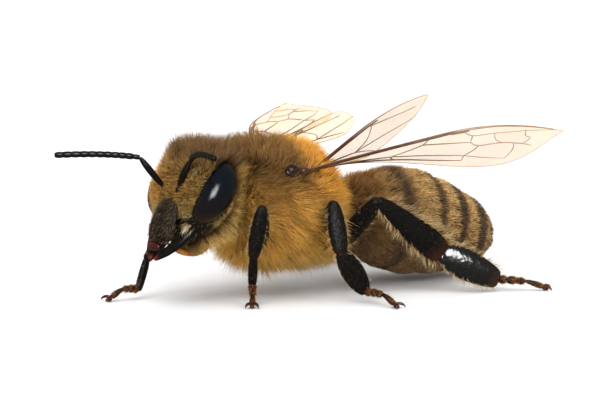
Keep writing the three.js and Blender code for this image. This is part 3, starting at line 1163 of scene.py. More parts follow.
    def _ocelli(self) -> None:
        """The three simple eyes on top of the head."""
        domes = []
        for x, y in ((0.0, -0.62), (0.27, -0.40), (-0.27, -0.40)):
            way = Vector((x, y, 1.0)).normalized()
            spot = self._skin_point(way)
            domes.append(Forge.ball(20, 12, lambda w, c=spot: self.frame.out(*(c + w * 0.13))))
        self.forge.piece("simple_eyes", Forge.joined(domes), self.palette.eye, Slot.EYE)

    def _hair(self, pelt: Pelt) -> None:
        """The hair of the head, longest on top and shortest beside the eyes."""
        coat = Coat(self.forge, self.palette.hair, "coat_head", Slot.FACE, 11)
        out = self.frame.ways

        def clear(places: np.ndarray) -> np.ndarray:
            """1 where no eye covers the shell."""
            return smooth(0.98, 1.05, self._eye_gap(places))

        def crown_length(places: Rows, normals: Rows, ways: Rows) -> Rows:
            """Long on top, shorter down the face, longer on the far cheek."""
            top = smooth(0.35, 0.85, ways[:, 2]) + 0.75 * smooth(0.2, 0.6, ways[:, 1])
            far = smooth(0.0, -0.7, ways[:, 0]) * 0.1
            return 0.20 + far + 0.48 * top - 0.04 * smooth(0.1, -0.35, ways[:, 2])

        def crown_lie(places: Rows, normals: Rows, ways: Rows) -> Rows:
            """Up on top, out and a little down in front."""
            top = smooth(0.2, 0.75, ways[:, 2])[:, None]
            rear = smooth(0.0, 0.5, ways[:, 1])[:, None]
            rise = out(np.array([[0.0, 0.12, 0.8]])) + out(np.array([[0.0, 0.3, 0.3]])) * rear
            sink = out(np.array([[0.0, -0.3, -0.35]]))
            return normals * 0.8 + rise * top + sink * (1 - top)

        def crown_where(places: Rows, normals: Rows, ways: Rows) -> Rows:
            """The top and the upper face."""
            face = smooth(-0.42, -0.22, ways[:, 2]) * smooth(0.35, 0.1, ways[:, 1])
            return np.maximum(face, smooth(0.3, 0.5, ways[:, 2])) * clear(places)

        def crown_root(places: Rows, normals: Rows, ways: Rows) -> Rows:
            """Golden brown, darker on top."""
            return blend((0.07, 0.034, 0.009), (0.026, 0.014, 0.007), smooth(0.4, 0.8, ways[:, 2]))

        def crown_tip(places: Rows, normals: Rows, ways: Rows) -> Rows:
            """Golden in front, brown on top, orange on the far cheek."""
            gold = blend((0.50, 0.28, 0.07), (0.21, 0.115, 0.045), smooth(0.35, 0.75, ways[:, 2]))
            cheek = smooth(0.0, -0.7, ways[:, 0]) * smooth(0.7, 0.3, ways[:, 2])
            return blend(gold, (0.88, 0.42, 0.10), 0.8 * cheek)

        crown = Fur(
            1100, crown_length, crown_lie, crown_root, crown_tip, crown_where,
            radius=0.011, clump=0.11, gather=0.4, ragged=0.55,
        )
        coat.grow(pelt, crown)

        def pile_where(places: Rows, normals: Rows, ways: Rows) -> Rows:
            """Short pile beside the shield and round the eyes, but not above the jaws."""
            local = self.frame.inside(places)
            low = smooth(-0.1, -0.25, ways[:, 2]) * smooth(0.3, 0.0, ways[:, 1])
            gap = self._eye_gap(places)
            rim = smooth(1.54, 1.46, gap) * (1 - 0.2 * smooth(0.0, 0.2, ways[:, 1]))
            bare = smooth(-0.72, -0.86, local[:, 2]) * smooth(0.35, 0.2, local[:, 1])
            thin = 1 - 0.45 * smooth(-0.05, 0.15, ways[:, 1])
            return np.maximum(low, rim) * clear(places) * (1 - 0.93 * bare) * thin

        def pile_lie(places: Rows, normals: Rows, ways: Rows) -> Rows:
            """Lying down and outwards, and backwards behind the eye."""
            behind = smooth(0.0, 0.3, ways[:, 1])[:, None]
            front = out(np.array([[0.0, -0.3, -0.7]])) - out(ways * [[0.4, 0.0, 0.0]])
            return normals * 0.55 + front * (1 - behind) + out(np.array([[0.0, 0.7, -0.45]])) * behind

        def pile_length(places: Rows, normals: Rows, ways: Rows) -> Rows:
            """Short, a little longer behind the eye and on the far cheek."""
            near = smooth(0.45, 0.3, np.abs(ways[:, 0])) * 0.06
            return 0.13 + near - 0.02 * smooth(-0.1, 0.4, ways[:, 1]) + 0.2 * smooth(0.0, -0.5, ways[:, 0])

        def pile_tip(places: Rows, normals: Rows, ways: Rows) -> Rows:
            """Straw, more golden behind the eye."""
            return blend((0.66, 0.50, 0.20), (0.80, 0.52, 0.16), smooth(-0.1, 0.2, ways[:, 1]))

        pile = Fur(
            1150, pile_length, pile_lie, plain((0.035, 0.022, 0.008)), pile_tip, pile_where,
            radius=0.010, clump=0.08, gather=0.3, spike=True,
        )
        coat.grow(pelt, pile)

        def beard_where(places: Rows, normals: Rows, ways: Rows) -> Rows:
            """The back, the cheeks behind the eyes and the underside."""
            local = self.frame.inside(places)
            back = smooth(0.55, 0.8, local[:, 1])
            under = smooth(-0.9, -1.15, local[:, 2]) * smooth(0.12, 0.35, local[:, 1])
            return np.maximum(back, under) * smooth(1.7, 1.8, self._eye_gap(places))

        def beard_lie(places: Rows, normals: Rows, ways: Rows) -> Rows:
            """Out from the eye, back and down."""
            fan = ways.copy()
            fan[:, 0] *= 1.1
            fan[:, 1] = np.abs(fan[:, 1]) * 0.5 + 0.15
            return normals * 0.45 + out(fan)

        def beard_length(places: Rows, normals: Rows, ways: Rows) -> Rows:
            """Long, and longest below, but short over the tongue."""
            local = self.frame.inside(places)
            over = smooth(-0.6, -1.0, local[:, 2]) * smooth(0.95, 0.5, local[:, 1])
            return (0.62 + 0.28 * smooth(0.1, -0.6, ways[:, 2])) * (1 - 0.45 * over)

        def beard_tip(places: Rows, normals: Rows, ways: Rows) -> Rows:
            """Golden, darker at the ends below."""
            return blend((0.94, 0.59, 0.18), (0.16, 0.08, 0.03), 0.75 * smooth(-0.6, -0.95, ways[:, 2]))

        beard = Fur(
            950, beard_length, beard_lie, plain((0.13, 0.065, 0.020)), beard_tip, beard_where,
            clump=0.15, gather=0.65, ragged=0.5,
        )
        coat.grow(pelt, beard)
        down = out(np.array([[0.1, -0.2, -0.9]]))

        def face_where(places: Rows, normals: Rows, ways: Rows) -> Rows:
            """The front of the shield, thickest at its sides and top."""
            edge = smooth(0.35, 0.9, np.abs(ways[:, 0]) + 0.6 * np.maximum(ways[:, 2], 0))
            return smooth(0.3, 0.0, ways[:, 1]) * (0.35 + 0.65 * edge)

        face = Fur(
            420, even(0.16), lambda p, n, w: n * 0.5 + down,
            plain((0.03, 0.02, 0.01)), plain((0.38, 0.27, 0.13)), face_where,
            radius=0.0065, clump=0.05, spike=True,
        )
        coat.grow(self.shield, face)

        def tuft_where(places: Rows, normals: Rows, ways: Rows) -> Rows:
            """A small spot above each jaw."""
            local = np.abs(self.frame.inside(places) * [[1.0, 0.0, 1.0]]) - np.array([[0.86, 0.0, 1.02]])
            front = smooth(0.0, -0.1, ways[:, 1])
            return smooth(0.13, 0.08, np.linalg.norm(local, axis=1)) * front

        tuft = Fur(
            900, even(0.5), lambda p, n, w: n * 0.6 + out(np.array([[0.0, -0.1, -1.0]])),
            plain((0.30, 0.22, 0.10)), plain((0.80, 0.66, 0.42)), tuft_where,
            radius=0.010, clump=0.3, gather=0.4,
        )
        coat.grow(pelt, tuft)
        coat.weave()


class Feeler:
    """One feeler: a long first joint and a jointed whip."""

    SEGMENTS = 11
    RADIUS = 0.112

    def __init__(
        self, side: Side, elbow: Sequence[float], bend: Sequence[float], tip: Sequence[float], base: Vector
    ) -> None:
        """Args:
        side: which side it grows on.
        elbow: where the whip starts.
        bend: what pulls the whip's curve.
        tip: where it ends.
        base: where the feeler grows.
        """
        self.side = side
        self.base = base
        self.elbow = Vector(elbow)
        self.whip = Path.arc(elbow, bend, tip, 16)

    def build(self, forge: Forge, palette: Palette) -> None:
        """Makes the feeler's two pieces.

        Args:
            forge: sets pieces into the frame.
            palette: the finishes.
        """
        word = self.side.word
        middle = (self.base + self.elbow) / 2 + Vector((0.03, -0.06, 0.04))
        stem = Path((tuple(self.base), tuple(middle), tuple(self.elbow)))
        up = Vector((0.2, -0.3, 1.0))
        radius = run([0.075, 0.105, 0.115, 0.12, 0.11, 0.085])
        knob = Forge.ball(20, 14, lambda way: self.base + way * 0.11)
        scape = Forge.joined([Forge.limb(stem, radius, radius, up, 20, 20), knob])

        def reddish(places: Rows, ways: Rows) -> Rows:
            """Black with a red-brown base."""
            return blend((0.006, 0.005, 0.004), (0.05, 0.014, 0.006), smooth(0.6, 0.95, ways[:, 2]))

        stands = f"antenna_{word}_scape"
        forge.piece(f"feeler_{word}_stem", scape, palette.leg, Slot.SHELL, [stands], reddish)
        parts = []
        for i in range(self.SEGMENTS):
            t0, t1 = i / self.SEGMENTS, (i + 1.08) / self.SEGMENTS
            spots = tuple(tuple(self.whip.at(min(1.0, t0 + (t1 - t0) * k / 3))) for k in range(4))
            size = self.RADIUS * (0.8 if i == 0 else 1.0)
            end = run([0.95, 1.0, 1.02, 0.97])
            barrel = (lambda t, s=size, e=end: s * e(t)) if i + 1 < self.SEGMENTS else (
                lambda t, s=size: s * run([0.92, 1.0, 0.92, 0.7])(t)
            )
            parts.append(Forge.limb(Path(spots), barrel, barrel, up, 18, 12, 0.16))
        stands = f"antenna_{word}_flagellum"
        forge.piece(f"feeler_{word}_whip", Forge.joined(parts), palette.shell, Slot.SHELL, [stands])


# ---------------------------------------------------------------- thorax


@dataclass(frozen=True)
class ThoraxSize:
    """Sizes of the thorax shell in mm."""

    centre: tuple[float, float, float] = (0.0, 0.0, 3.25)
    half_width: float = 1.64
    half_height: float = 1.74
    front: float = 1.92
    rear: float = 1.50
    fall: float = 0.10
    breast: float = 0.42
    crest: float = 1.4
    rump: float = 2.0
    hump: float = 0.14
    coat: float = 0.66


class Thorax:
    """The thorax with its coat, the neck, the waist and the scales over the wing roots."""

    SPOT = np.array([0.48, -0.85, 0.18])

    def __init__(self, forge: Forge, palette: Palette, size: ThoraxSize = ThoraxSize()) -> None:
        """Args:
        forge: sets pieces into the frame.
        palette: the finishes.
        size: the thorax's sizes.
        """
        self.forge = forge
        self.palette = palette
        self.size = size

    def _skin_point(self, way: Vector) -> Vector:
        """Where a point of the unit ball lies on the shell."""
        s = self.size
        power = 2.0
        if way.y < 0 < way.z:
            power += s.crest
        elif way.z < 0 < way.y:
            power += s.rump
        ring = max(math.hypot(way.y, way.z), 1e-6)
        square = (abs(way.y / ring) ** power + abs(way.z / ring) ** power) ** (-1.0 / power)
        length = s.front * (1 + s.breast * max(0.0, -way.z)) if way.y < 0 else s.rear
        shield = s.hump * math.exp(-(((way.y - 0.62) / 0.22) ** 2)) * max(0.0, way.z) ** 2
        fuller = max(math.hypot(way.x, way.z), 0.3) ** -0.14
        height = s.half_height * (1 - s.fall * way.y) * square
        return Vector(s.centre) + Vector(
            (way.x * fuller * s.half_width, way.y * length * square, way.z * fuller * height + shield)
        )

    def build(self) -> None:
        """Makes every piece of the thorax."""
        shell = Forge.ball(96, 64, self._skin_point)
        paint = lambda places, ways: np.tile((0.022, 0.013, 0.007), (len(places), 1))
        pelt = self.forge.piece("thorax_shell", shell, self.palette.skin, Slot.COAT, ["thorax"], paint)
        up = Vector((0, 0, 1))
        nape = Path(((0, -3.3, 3.35), (0, -2.4, 3.3), (0, -1.4, 3.25)))
        neck = Forge.limb(nape, even_share(0.5), even_share(0.5), up)
        self.forge.piece("neck_sleeve", neck, self.palette.shell, Slot.SHELL, ["neck"])
        loins = Path(((0, 1.2, 2.85), (0, 1.75, 2.62), (0, 2.2, 2.6)))
        waist = Forge.limb(loins, run([0.7, 0.34, 0.5]), run([0.6, 0.3, 0.5]), up)
        self.forge.piece("waist", waist, self.palette.shell, Slot.SHELL)
        for side in Side:
            self._scale(side)
        self._hair(pelt)

    def _scale(self, side: Side) -> None:
        """The scale over a wing root, with the little plates that hinge the wing."""
        hand = side.value

        def place(way: Vector) -> Vector:
            """A low oval dome."""
            dent = 1 - 0.12 * math.cos(4 * way.y + 3 * way.z)
            height = 4.64 + way.z * 0.17 * dent - 0.12 * way.x * hand
            return Vector((hand * 1.78 + way.x * 0.17 * dent, -0.72 + way.y * 0.29, height))

        stands = [f"tegula_{side.word}"]
        dome = Forge.ball(36, 24, place)
        self.forge.piece(f"wing_scale_{side.word}", dome, self.palette.scale, Slot.SHELL, stands)
        knobs = []
        for x, y, z, rx, ry, rz in (
            (1.86, -0.30, 4.62, 0.15, 0.17, 0.13),
            (1.80, -0.08, 4.58, 0.13, 0.16, 0.11),
            (1.72, 0.16, 4.60, 0.14, 0.14, 0.09),
            (1.58, 0.34, 4.58, 0.14, 0.13, 0.09),
        ):
            knobs.append(
                Forge.ball(18, 12, lambda w, a=(x, y, z), r=(rx, ry, rz): Vector(
                    (hand * a[0] + w.x * r[0], a[1] + w.y * r[1], a[2] + w.z * r[2])
                ))
            )
        self.forge.piece(f"wing_hinge_{side.word}", Forge.joined(knobs), self.palette.sclerite, Slot.SHELL)

    def _hair(self, pelt: Pelt) -> None:
        """The deep coat of the thorax."""
        coat = Coat(self.forge, self.palette.hair, "coat_thorax", Slot.COAT, 23)
        depth = self.size.coat

        def length(places: Rows, normals: Rows, ways: Rows) -> Rows:
            """Deep all round, shorter where the legs and wings join."""
            side = smooth(0.6, 0.0, ways[:, 2])
            front = smooth(-0.2, -0.8, ways[:, 1])
            nape = front * smooth(0.1, 0.45, ways[:, 2])
            rump = smooth(0.6, 0.95, ways[:, 1])
            return depth * (1.04 + 0.5 * side - 0.3 * rump + 0.2 * front + 0.35 * nape)

        def lie(places: Rows, normals: Rows, ways: Rows) -> Rows:
            """Upright on top, swept back and down on the sides, flat and straight back on the spot."""
            low = smooth(0.6, 0.0, ways[:, 2])[:, None]
            fore = smooth(-0.35, -0.8, ways[:, 1])[:, None]
            back = np.array([[0.0, 0.85, -0.3]]) * (1 - fore) + np.array([[0.0, 0.25, -0.45]]) * fore
            swirl = np.array([[0.0, 0.0, -0.5]]) * smooth(0.0, 0.9, ways[:, 1])[:, None]
            top = np.array([[0.0, 0.12, 0.25]]) * (1 - fore) + np.array([[0.0, -0.15, 0.3]]) * fore
            spot = smooth(0.78, 0.96, unit(ways) @ self.SPOT)[:, None]
            parting = np.array([[0.0, 0.9, -0.1]]) * (4 * low * (1 - low) * fore)
            tousle = ripple(places, 0.45, 77) * (0.05 + 0.2 * spot) + parting
            flow = (back + swirl) * low + top * (1 - low) + tousle
            raised = normals * (0.85 - 0.3 * low) * (1 - 0.55 * spot)
            return raised + flow * (1 - spot) + np.array([[0.0, 0.8, -0.12]]) * spot

        def root(places: Rows, normals: Rows, ways: Rows) -> Rows:
            """Brown near the skin, with painted shade darker in front on top."""
            # brown paints the shade on the top front of the coat, where it meets the head.
            brown = smooth(0.1, 0.5, ways[:, 2]) * smooth(0.25, -0.25, ways[:, 1])
            return blend((0.11, 0.048, 0.011), (0.03, 0.014, 0.006), brown)

        def tip(places: Rows, normals: Rows, ways: Rows) -> Rows:
            """Golden, orange behind on top as a painted backlit glow, brown in front on top as painted shade,
            paler below.
            """
            # orange paints the glow of backlight on the top rear of the coat.
            orange = smooth(-0.2, 0.4, ways[:, 1]) * smooth(-0.1, 0.5, ways[:, 2])
            gold = blend((0.90, 0.46, 0.095), (0.95, 0.42, 0.06), orange)
            # brown paints the shade on the top front of the coat, where it meets the head.
            brown = smooth(0.1, 0.5, ways[:, 2]) * smooth(0.2, -0.2, ways[:, 1]) * 0.85
            spot = smooth(0.93, 0.99, unit(ways) @ self.SPOT) * 0.52
            gold = blend(gold, (0.16, 0.082, 0.030), np.maximum(brown, spot))
            return blend(gold, (0.86, 0.50, 0.14), smooth(-0.45, -0.9, ways[:, 2]))

        def where(places: Rows, normals: Rows, ways: Rows) -> Rows:
            """Everywhere but where the waist joins."""
            return smooth(0.985, 0.95, ways[:, 1])

        def short(places: Rows, normals: Rows, ways: Rows) -> Rows:
            """Half as long, for the undercoat."""
            return length(places, normals, ways) * 0.55

        long = Fur(
            960, length, lie, root, tip, where, radius=0.0135, clump=0.14, gather=0.6, wave=0.9, bend=0.28
        )
        under = Fur(600, short, lie, root, tip, where, radius=0.012, clump=0.1, gather=0.3, spike=True)
        coat.grow(pelt, long)
        coat.grow(pelt, under)
        coat.weave()


# ---------------------------------------------------------------- abdomen


@dataclass(frozen=True)
class AbdomenSize:
    """Sizes of the abdomen in mm.

    Args:
        root: where its axis starts.
        bow: what pulls the axis into a bow.
        tip: where the axis ends.
        edges: where the plates start and end, as shares of the axis.
        radii: half its height at even steps of the axis.
        broader: its width for each unit of height.
        lip: how far a plate's rear edge stands proud.
        tuck: how far its front edge is tucked in.
        overlap: how far it reaches under the plate before, as a share of the axis.
        depths: how deep the coat of each plate is, from 0 to 1.
        dark: where each plate's dark band starts and ends, as shares of the plate; past 1 there is none.
        soft: half the width of a band's soft edge.
        slant: how far back a band slants down the side.
    """

    root: tuple[float, float, float] = (0.0, 1.78, 2.64)
    bow: tuple[float, float, float] = (0.0, 5.1, 2.25)
    tip: tuple[float, float, float] = (0.0, 8.36, 1.0)
    edges: tuple[float, ...] = (0.0, 0.20, 0.382, 0.564, 0.72, 0.866, 1.0)
    radii: tuple[float, ...] = (0.36, 1.02, 1.48, 1.73, 1.83, 1.76, 1.62, 1.39, 1.09, 0.22)
    broader: float = 1.03
    lip: float = 0.045
    tuck: float = 0.05
    overlap: float = 0.035
    depths: tuple[float, ...] = (1.0, 0.6, 0.15, 0.0, 0.0, 0.0)
    dark: tuple[tuple[float, float], ...] = (
        (2.0, 3.0), (0.42, 0.76), (0.62, 3.0), (0.52, 3.0), (0.48, 3.0), (0.30, 3.0),
    )
    soft: float = 0.1
    slant: float = 0.12


class Abdomen:
    """The six overlapping plates of the abdomen with their bands of hair."""

    def __init__(self, forge: Forge, palette: Palette, size: AbdomenSize = AbdomenSize()) -> None:
        """Args:
        forge: sets pieces into the frame.
        palette: the finishes.
        size: the abdomen's sizes.
        """
        self.forge = forge
        self.palette = palette
        self.size = size
        self.axis = Path.arc(size.root, size.bow, size.tip, 24)

    def build(self) -> None:
        """Makes the plates and their coat."""
        coat = Coat(self.forge, self.palette.hair, "coat_abdomen", Slot.BELLY, 37)
        count = len(self.size.edges) - 1
        for index in range(count):
            pelt = self._plate(index)
            self._hair(coat, pelt, index, (0.0, index / count, 1.0, 1.0 / count))
        coat.weave()

    def _plate(self, index: int) -> Pelt:
        """One plate, whose rear edge stands proud of the next."""
        s = self.size
        last = index == len(s.edges) - 2
        start = max(0.0, s.edges[index] - s.overlap)
        end = s.edges[index + 1]
        profile = run(s.radii)

        def thick(t: float) -> float:
            """Half height along the plate."""
            grown = s.lip * t - s.tuck * (1 - t) if index else s.lip * t
            return max(0.06, profile(start + (end - start) * t) + (grown if not last else -s.tuck * (1 - t)))

        path = Path(tuple(tuple(self.axis.at(start + (end - start) * k / 5)) for k in range(6)))
        plate = Forge.limb(
            path, lambda t: s.broader * thick(t), thick, Vector((0, 0, 1)), 72, 40, 0.45 if last else 0.10
        )
        name = f"abdomen_{index + 1}"

        def paint(places: Rows, ways: Rows) -> Rows:
            """Dark brown with a warmer front half, paler below."""
            t = (1 - ways[:, 2]) / 2
            warm = blend((0.030, 0.018, 0.012), (0.22, 0.11, 0.035), smooth(0.55, 0.3, t) * 0.8)
            return blend(warm, (0.14, 0.075, 0.033), 0.5 * smooth(-0.3, -0.7, ways[:, 1]))

        return self.forge.piece(f"plate_{index + 1}", plate, self.palette.plate, Slot.BELLY, [name], paint)

    def _hair(self, coat: Coat, pelt: Pelt, index: int, tile: Tile) -> None:
        """The hair of one plate, deep on the first plates and short on the rest."""
        s = self.size
        deep = s.depths[index]
        start, end = s.dark[index]
        edges = s.edges
        back = np.array([list(self.axis.heading((edges[index] + edges[index + 1]) / 2))])

        def along(ways: Rows) -> Rows:
            """How far down the plate each way lies."""
            return (1 - ways[:, 2]) / 2

        def lie(places: Rows, normals: Rows, ways: Rows) -> Rows:
            """Flat and backwards."""
            raised = (0.28 + 0.75 * deep) * (1 - 0.6 * smooth(0.1, -0.6, ways[:, 1]))
            return back + normals * raised[:, None]

        def length(places: Rows, normals: Rows, ways: Rows) -> Rows:
            """Deep on the first plates, short behind."""
            return (0.17 + 0.36 * deep) * (1 - 0.5 * smooth(0.1, -0.6, ways[:, 1]))

        def band(ways: Rows) -> Rows:
            """1 on the pale part of the plate, 0 on its dark band, which slants back down the side."""
            up = ways[:, 1] / np.maximum(np.hypot(ways[:, 0], ways[:, 1]), 1e-6)
            t = along(ways) - s.slant * (1 - up)
            return 1 - smooth(start - s.soft, start + s.soft, t) * smooth(end + s.soft, end - s.soft, t)

        def root(places: Rows, normals: Rows, ways: Rows) -> Rows:
            """Brown under gold, nearly black under the dark band."""
            return blend((0.040, 0.024, 0.015), (0.26, 0.145, 0.05), band(ways) * (1 - 0.75 * deep))

        def tip(places: Rows, normals: Rows, ways: Rows) -> Rows:
            """Gold, dark brown on the dark band, dull brown below and on the first plates."""
            gold = blend((0.20, 0.12, 0.065), (0.88, 0.56, 0.22), band(ways))
            gold = blend(gold, (0.30, 0.145, 0.04), np.full(len(ways), min(1.0, 1.1 * deep)) * band(ways))
            return blend(gold, (0.21, 0.125, 0.06), 0.75 * smooth(0.2, -0.5, ways[:, 1]))

        def where(places: Rows, normals: Rows, ways: Rows) -> Rows:
            """Thick on the pale part, thinner on the dark band."""
            shown = smooth(0.985, 0.94, along(ways))
            return shown * np.maximum(band(ways), 0.6 + 0.4 * deep)

        fur = Fur(
            800, length, lie, root, tip, where, radius=0.0102,
            clump=0.08 + 0.07 * deep, gather=0.25, bend=0.15 + 0.15 * deep,
        )
        coat.grow(pelt, fur, tile)


# ---------------------------------------------------------------- legs


@dataclass(frozen=True)
class LegRoute:
    """The joints of one leg in mm, from the body to the claws."""

    hip: tuple[float, float, float]
    trochanter: tuple[float, float, float]
    knee: tuple[float, float, float]
    ankle: tuple[float, float, float]
    heel: tuple[float, float, float]
    arch: tuple[float, float, float]
    toe: tuple[float, float, float]


@dataclass(frozen=True)
class LegSize:
    """Half-width and half-thickness of each part of a leg in mm, and how much hair it has.

    Args:
        coxa: the first joint.
        femur: the thigh.
        tibia: the shin.
        basitarsus: the broad joint of the foot.
        shin: the shin's outline along it.
        broad: the broad joint's outline along it.
        fringe: the length of the fringes at the edges.
        bare: how bare the outer face is.
    """

    coxa: tuple[float, float]
    femur: tuple[float, float]
    tibia: tuple[float, float]
    basitarsus: tuple[float, float]
    shin: tuple[float, ...]
    broad: tuple[float, ...]
    fringe: float
    bare: float


class Pair(Enum):
    """Which pair a leg belongs to."""

    FRONT = "front"
    MIDDLE = "middle"
    HIND = "hind"


LEG_SIZES: dict[Pair, LegSize] = {
    Pair.FRONT: LegSize(
        (0.30, 0.30), (0.27, 0.20), (0.265, 0.2), (0.165, 0.13),
        (0.72, 0.95, 1.0, 0.98, 0.8), (0.85, 1.0, 1.0, 0.95), 0.15, 0.0,
    ),
    Pair.MIDDLE: LegSize(
        (0.32, 0.32), (0.29, 0.22), (0.31, 0.2), (0.39, 0.15),
        (0.66, 0.9, 1.0, 1.0, 0.82), (0.62, 1.0, 0.98, 0.62), 0.27, 0.0,
    ),
    Pair.HIND: LegSize(
        (0.34, 0.34), (0.33, 0.24), (0.54, 0.21), (0.56, 0.19),
        (0.40, 0.60, 0.80, 0.97, 0.93), (0.74, 1.0, 0.93, 0.72), 0.54, 0.85,
    ),
}
LEG_ROUTES: dict[tuple[Pair, Side], LegRoute] = {
    (Pair.FRONT, Side.LEFT): LegRoute(
        (0.5, -1.25, 2.0), (0.95, -1.5, 1.72), (1.98, -2.03, 3.5), (1.78, -2.28, 1.76),
        (1.38, -2.1, 0.68), (1.66, -2.24, 0.4), (1.93, -2.42, 0.12),
    ),
    (Pair.MIDDLE, Side.LEFT): LegRoute(
        (0.5, 0.5, 1.9), (1.25, 0.72, 1.6), (2.42, 0.55, 3.5), (3.05, 0.47, 1.86),
        (3.2, 1.38, 0.42), (3.9, 1.62, 0.42), (4.42, 1.82, 0.12),
    ),
    (Pair.HIND, Side.LEFT): LegRoute(
        (0.5, 1.2, 2.1), (1.25, 1.5, 1.75), (2.55, 2.28, 3.46), (3.02, 4.6, 1.44),
        (3.5, 6.58, 0.42), (3.98, 7.4, 0.34), (4.23, 8.0, 0.12),
    ),
    (Pair.FRONT, Side.RIGHT): LegRoute(
        (-0.5, -1.25, 2.0), (-0.95, -1.6, 1.6), (-2.1, -3.0, 2.62), (-1.75, -4.55, 1.34),
        (-1.45, -5.05, 0.36), (-1.5, -5.6, 0.4), (-1.57, -6.05, 0.12),
    ),
    (Pair.MIDDLE, Side.RIGHT): LegRoute(
        (-0.5, 0.5, 1.9), (-1.25, 0.75, 1.6), (-2.55, 1.15, 3.3), (-3.25, 2.2, 1.78),
        (-3.45, 3.2, 0.42), (-3.85, 3.8, 0.4), (-4.2, 4.25, 0.12),
    ),
    (Pair.HIND, Side.RIGHT): LegRoute(
        (-0.5, 1.2, 2.1), (-1.25, 1.5, 1.75), (-2.75, 2.1, 3.4), (-3.6, 4.15, 1.46),
        (-3.95, 6.05, 0.42), (-4.25, 6.85, 0.34), (-4.45, 7.45, 0.12),
    ),
}


class Leg:
    """One leg: coxa, femur, tibia, broad joint and foot, with its hair."""

    OUTWARD = Vector((0.92, -0.35, 0.17))
    CUPS = 3

    def __init__(self, pair: Pair, side: Side, forge: Forge, palette: Palette) -> None:
        """Args:
        pair: which pair.
        side: which side.
        forge: sets pieces into the frame.
        palette: the finishes.
        """
        self.pair = pair
        self.side = side
        self.forge = forge
        self.palette = palette
        self.size = LEG_SIZES[pair]
        self.route = LEG_ROUTES[(pair, side)]
        self.name = f"leg_{pair.value}_{side.word}"
        self.outward = Vector((side.value * self.OUTWARD.x, self.OUTWARD.y, self.OUTWARD.z))

    def build(self) -> None:
        """Makes the leg's pieces and its coat."""
        s, r = self.size, self.route
        seed = 50 + 10 * list(Pair).index(self.pair) + (self.side is Side.LEFT)
        coat = Coat(self.forge, self.palette.hair, f"coat_{self.name}", Slot.SHELL, seed)
        pieces = (
            ("coxa", r.hip, r.trochanter, s.coxa, (1.0, 1.0, 0.85)),
            ("femur", r.trochanter, r.knee, s.femur, (0.66, 0.95, 1.0, 0.9, 0.72)),
            ("tibia", r.knee, r.ankle, s.tibia, s.shin),
            ("basitarsus", r.ankle, r.heel, s.basitarsus, s.broad),
        )
        for index, (kind, start, end, half, outline) in enumerate(pieces):
            pelt = self._segment(kind, Vector(start), Vector(end), half, run(outline))
            along = (Vector(end) - Vector(start)).normalized()
            self._hair(coat, pelt, kind, along, (0.0, index / 5, 1.0, 0.2))
        self._foot(coat)
        coat.weave()

    def _segment(
        self, kind: str, start: Vector, end: Vector, half: tuple[float, float], outline: Share
    ) -> Pelt:
        """One joint of the leg."""
        along = (end - start).normalized()
        glossy = self.pair is Pair.HIND and kind == "basitarsus"
        facing = self.outward + Vector((0, 0, 0.30 if glossy else 0.0))
        path = Path((tuple(start - along * 0.04), tuple((start + end) / 2), tuple(end + along * 0.05)))
        body = Forge.limb(
            path,
            lambda t: half[0] * outline(t),
            lambda t: half[1] * math.sqrt(outline(t)),
            facing,
            36,
            40,
            0.32 if kind in ("tibia", "basitarsus") else 0.45,
            2.0 if kind == "coxa" else 2.2,
        )

        def paint(places: Rows, ways: Rows) -> Rows:
            """Black, red-brown at the joints."""
            ends = smooth(0.97, 1.0, np.abs(ways[:, 2])) * 0.2
            hind = 0.55 if self.pair is Pair.HIND else 0.12
            low = smooth(-0.3, 0.8, ways[:, 0] * self.side.value)
            far = smooth(-0.5, -0.95, ways[:, 2]) * (hind if kind in ("tibia", "basitarsus") else 0.0)
            red = np.maximum(ends, far * (0.4 + 0.6 * low))
            return blend((0.006, 0.0055, 0.005), (0.085, 0.022, 0.007), red)

        finish = self.palette.broad if glossy else self.palette.leg
        name = f"{self.name}_{kind}"
        return self.forge.piece(f"{name}_shell", body, finish, Slot.SHELL, [name], paint)

    def _hair(self, coat: Coat, pelt: Pelt, kind: str, along: Vector, tile: Tile) -> None:
        """Short hair lying along the joint, with a fringe at its edges."""
        down = np.array([list(along)])
        broad = along.cross(self.outward).normalized()
        bare = self.size.bare if kind in ("tibia", "basitarsus") else 0.0
        upper = kind in ("coxa", "femur")

        def lie(places: Rows, normals: Rows, ways: Rows) -> Rows:
            """Along the joint, a little raised."""
            return down + normals * 0.42

        def where(places: Rows, normals: Rows, ways: Rows) -> Rows:
            """Everywhere but on bare faces."""
            return 1.0 - bare * smooth(0.2, 0.6, ways[:, 1])

        short = Fur(
            110, even(0.15 if upper else 0.11), lie, plain((0.02, 0.012, 0.006)),
            plain((0.20, 0.11, 0.04)), where, radius=0.006, clump=0.06, gather=0.2, spike=True,
        )
        coat.grow(pelt, short, tile)
        if kind == "coxa":
            return
        reach = self.size.fringe * (0.6 if kind == "basitarsus" else 1.0) if kind != "femur" else 0.26

        def fringe_lie(places: Rows, normals: Rows, ways: Rows) -> Rows:
            """Out from the edges and along the joint."""
            edge = np.sign(ways[:, :1]) * np.array([list(broad)])
            curl = np.array([list(self.outward)]) * 0.3 * (self.pair is Pair.HIND)
            return edge * 0.8 + down * 0.75 + curl

        def fringe_where(places: Rows, normals: Rows, ways: Rows) -> Rows:
            """At the two edges."""
            ring = np.maximum(np.hypot(ways[:, 0], ways[:, 1]), 1e-6)
            return smooth(0.75, 0.95, np.abs(ways[:, 0]) / ring) * smooth(0.98, 0.85, np.abs(ways[:, 2]))

        hind = self.pair is Pair.HIND
        density = (190 if hind else 120) * (0.3 if upper else 1.0)
        fringe = Fur(
            density, even(reach), fringe_lie,
            plain((0.36, 0.22, 0.09)), plain((0.88, 0.66, 0.35)), fringe_where,
            radius=0.0075 if hind else 0.0060, clump=0.08, gather=0.1, wave=0.3, ragged=0.6, bend=0.5,
        )
        coat.grow(pelt, fringe, tile)

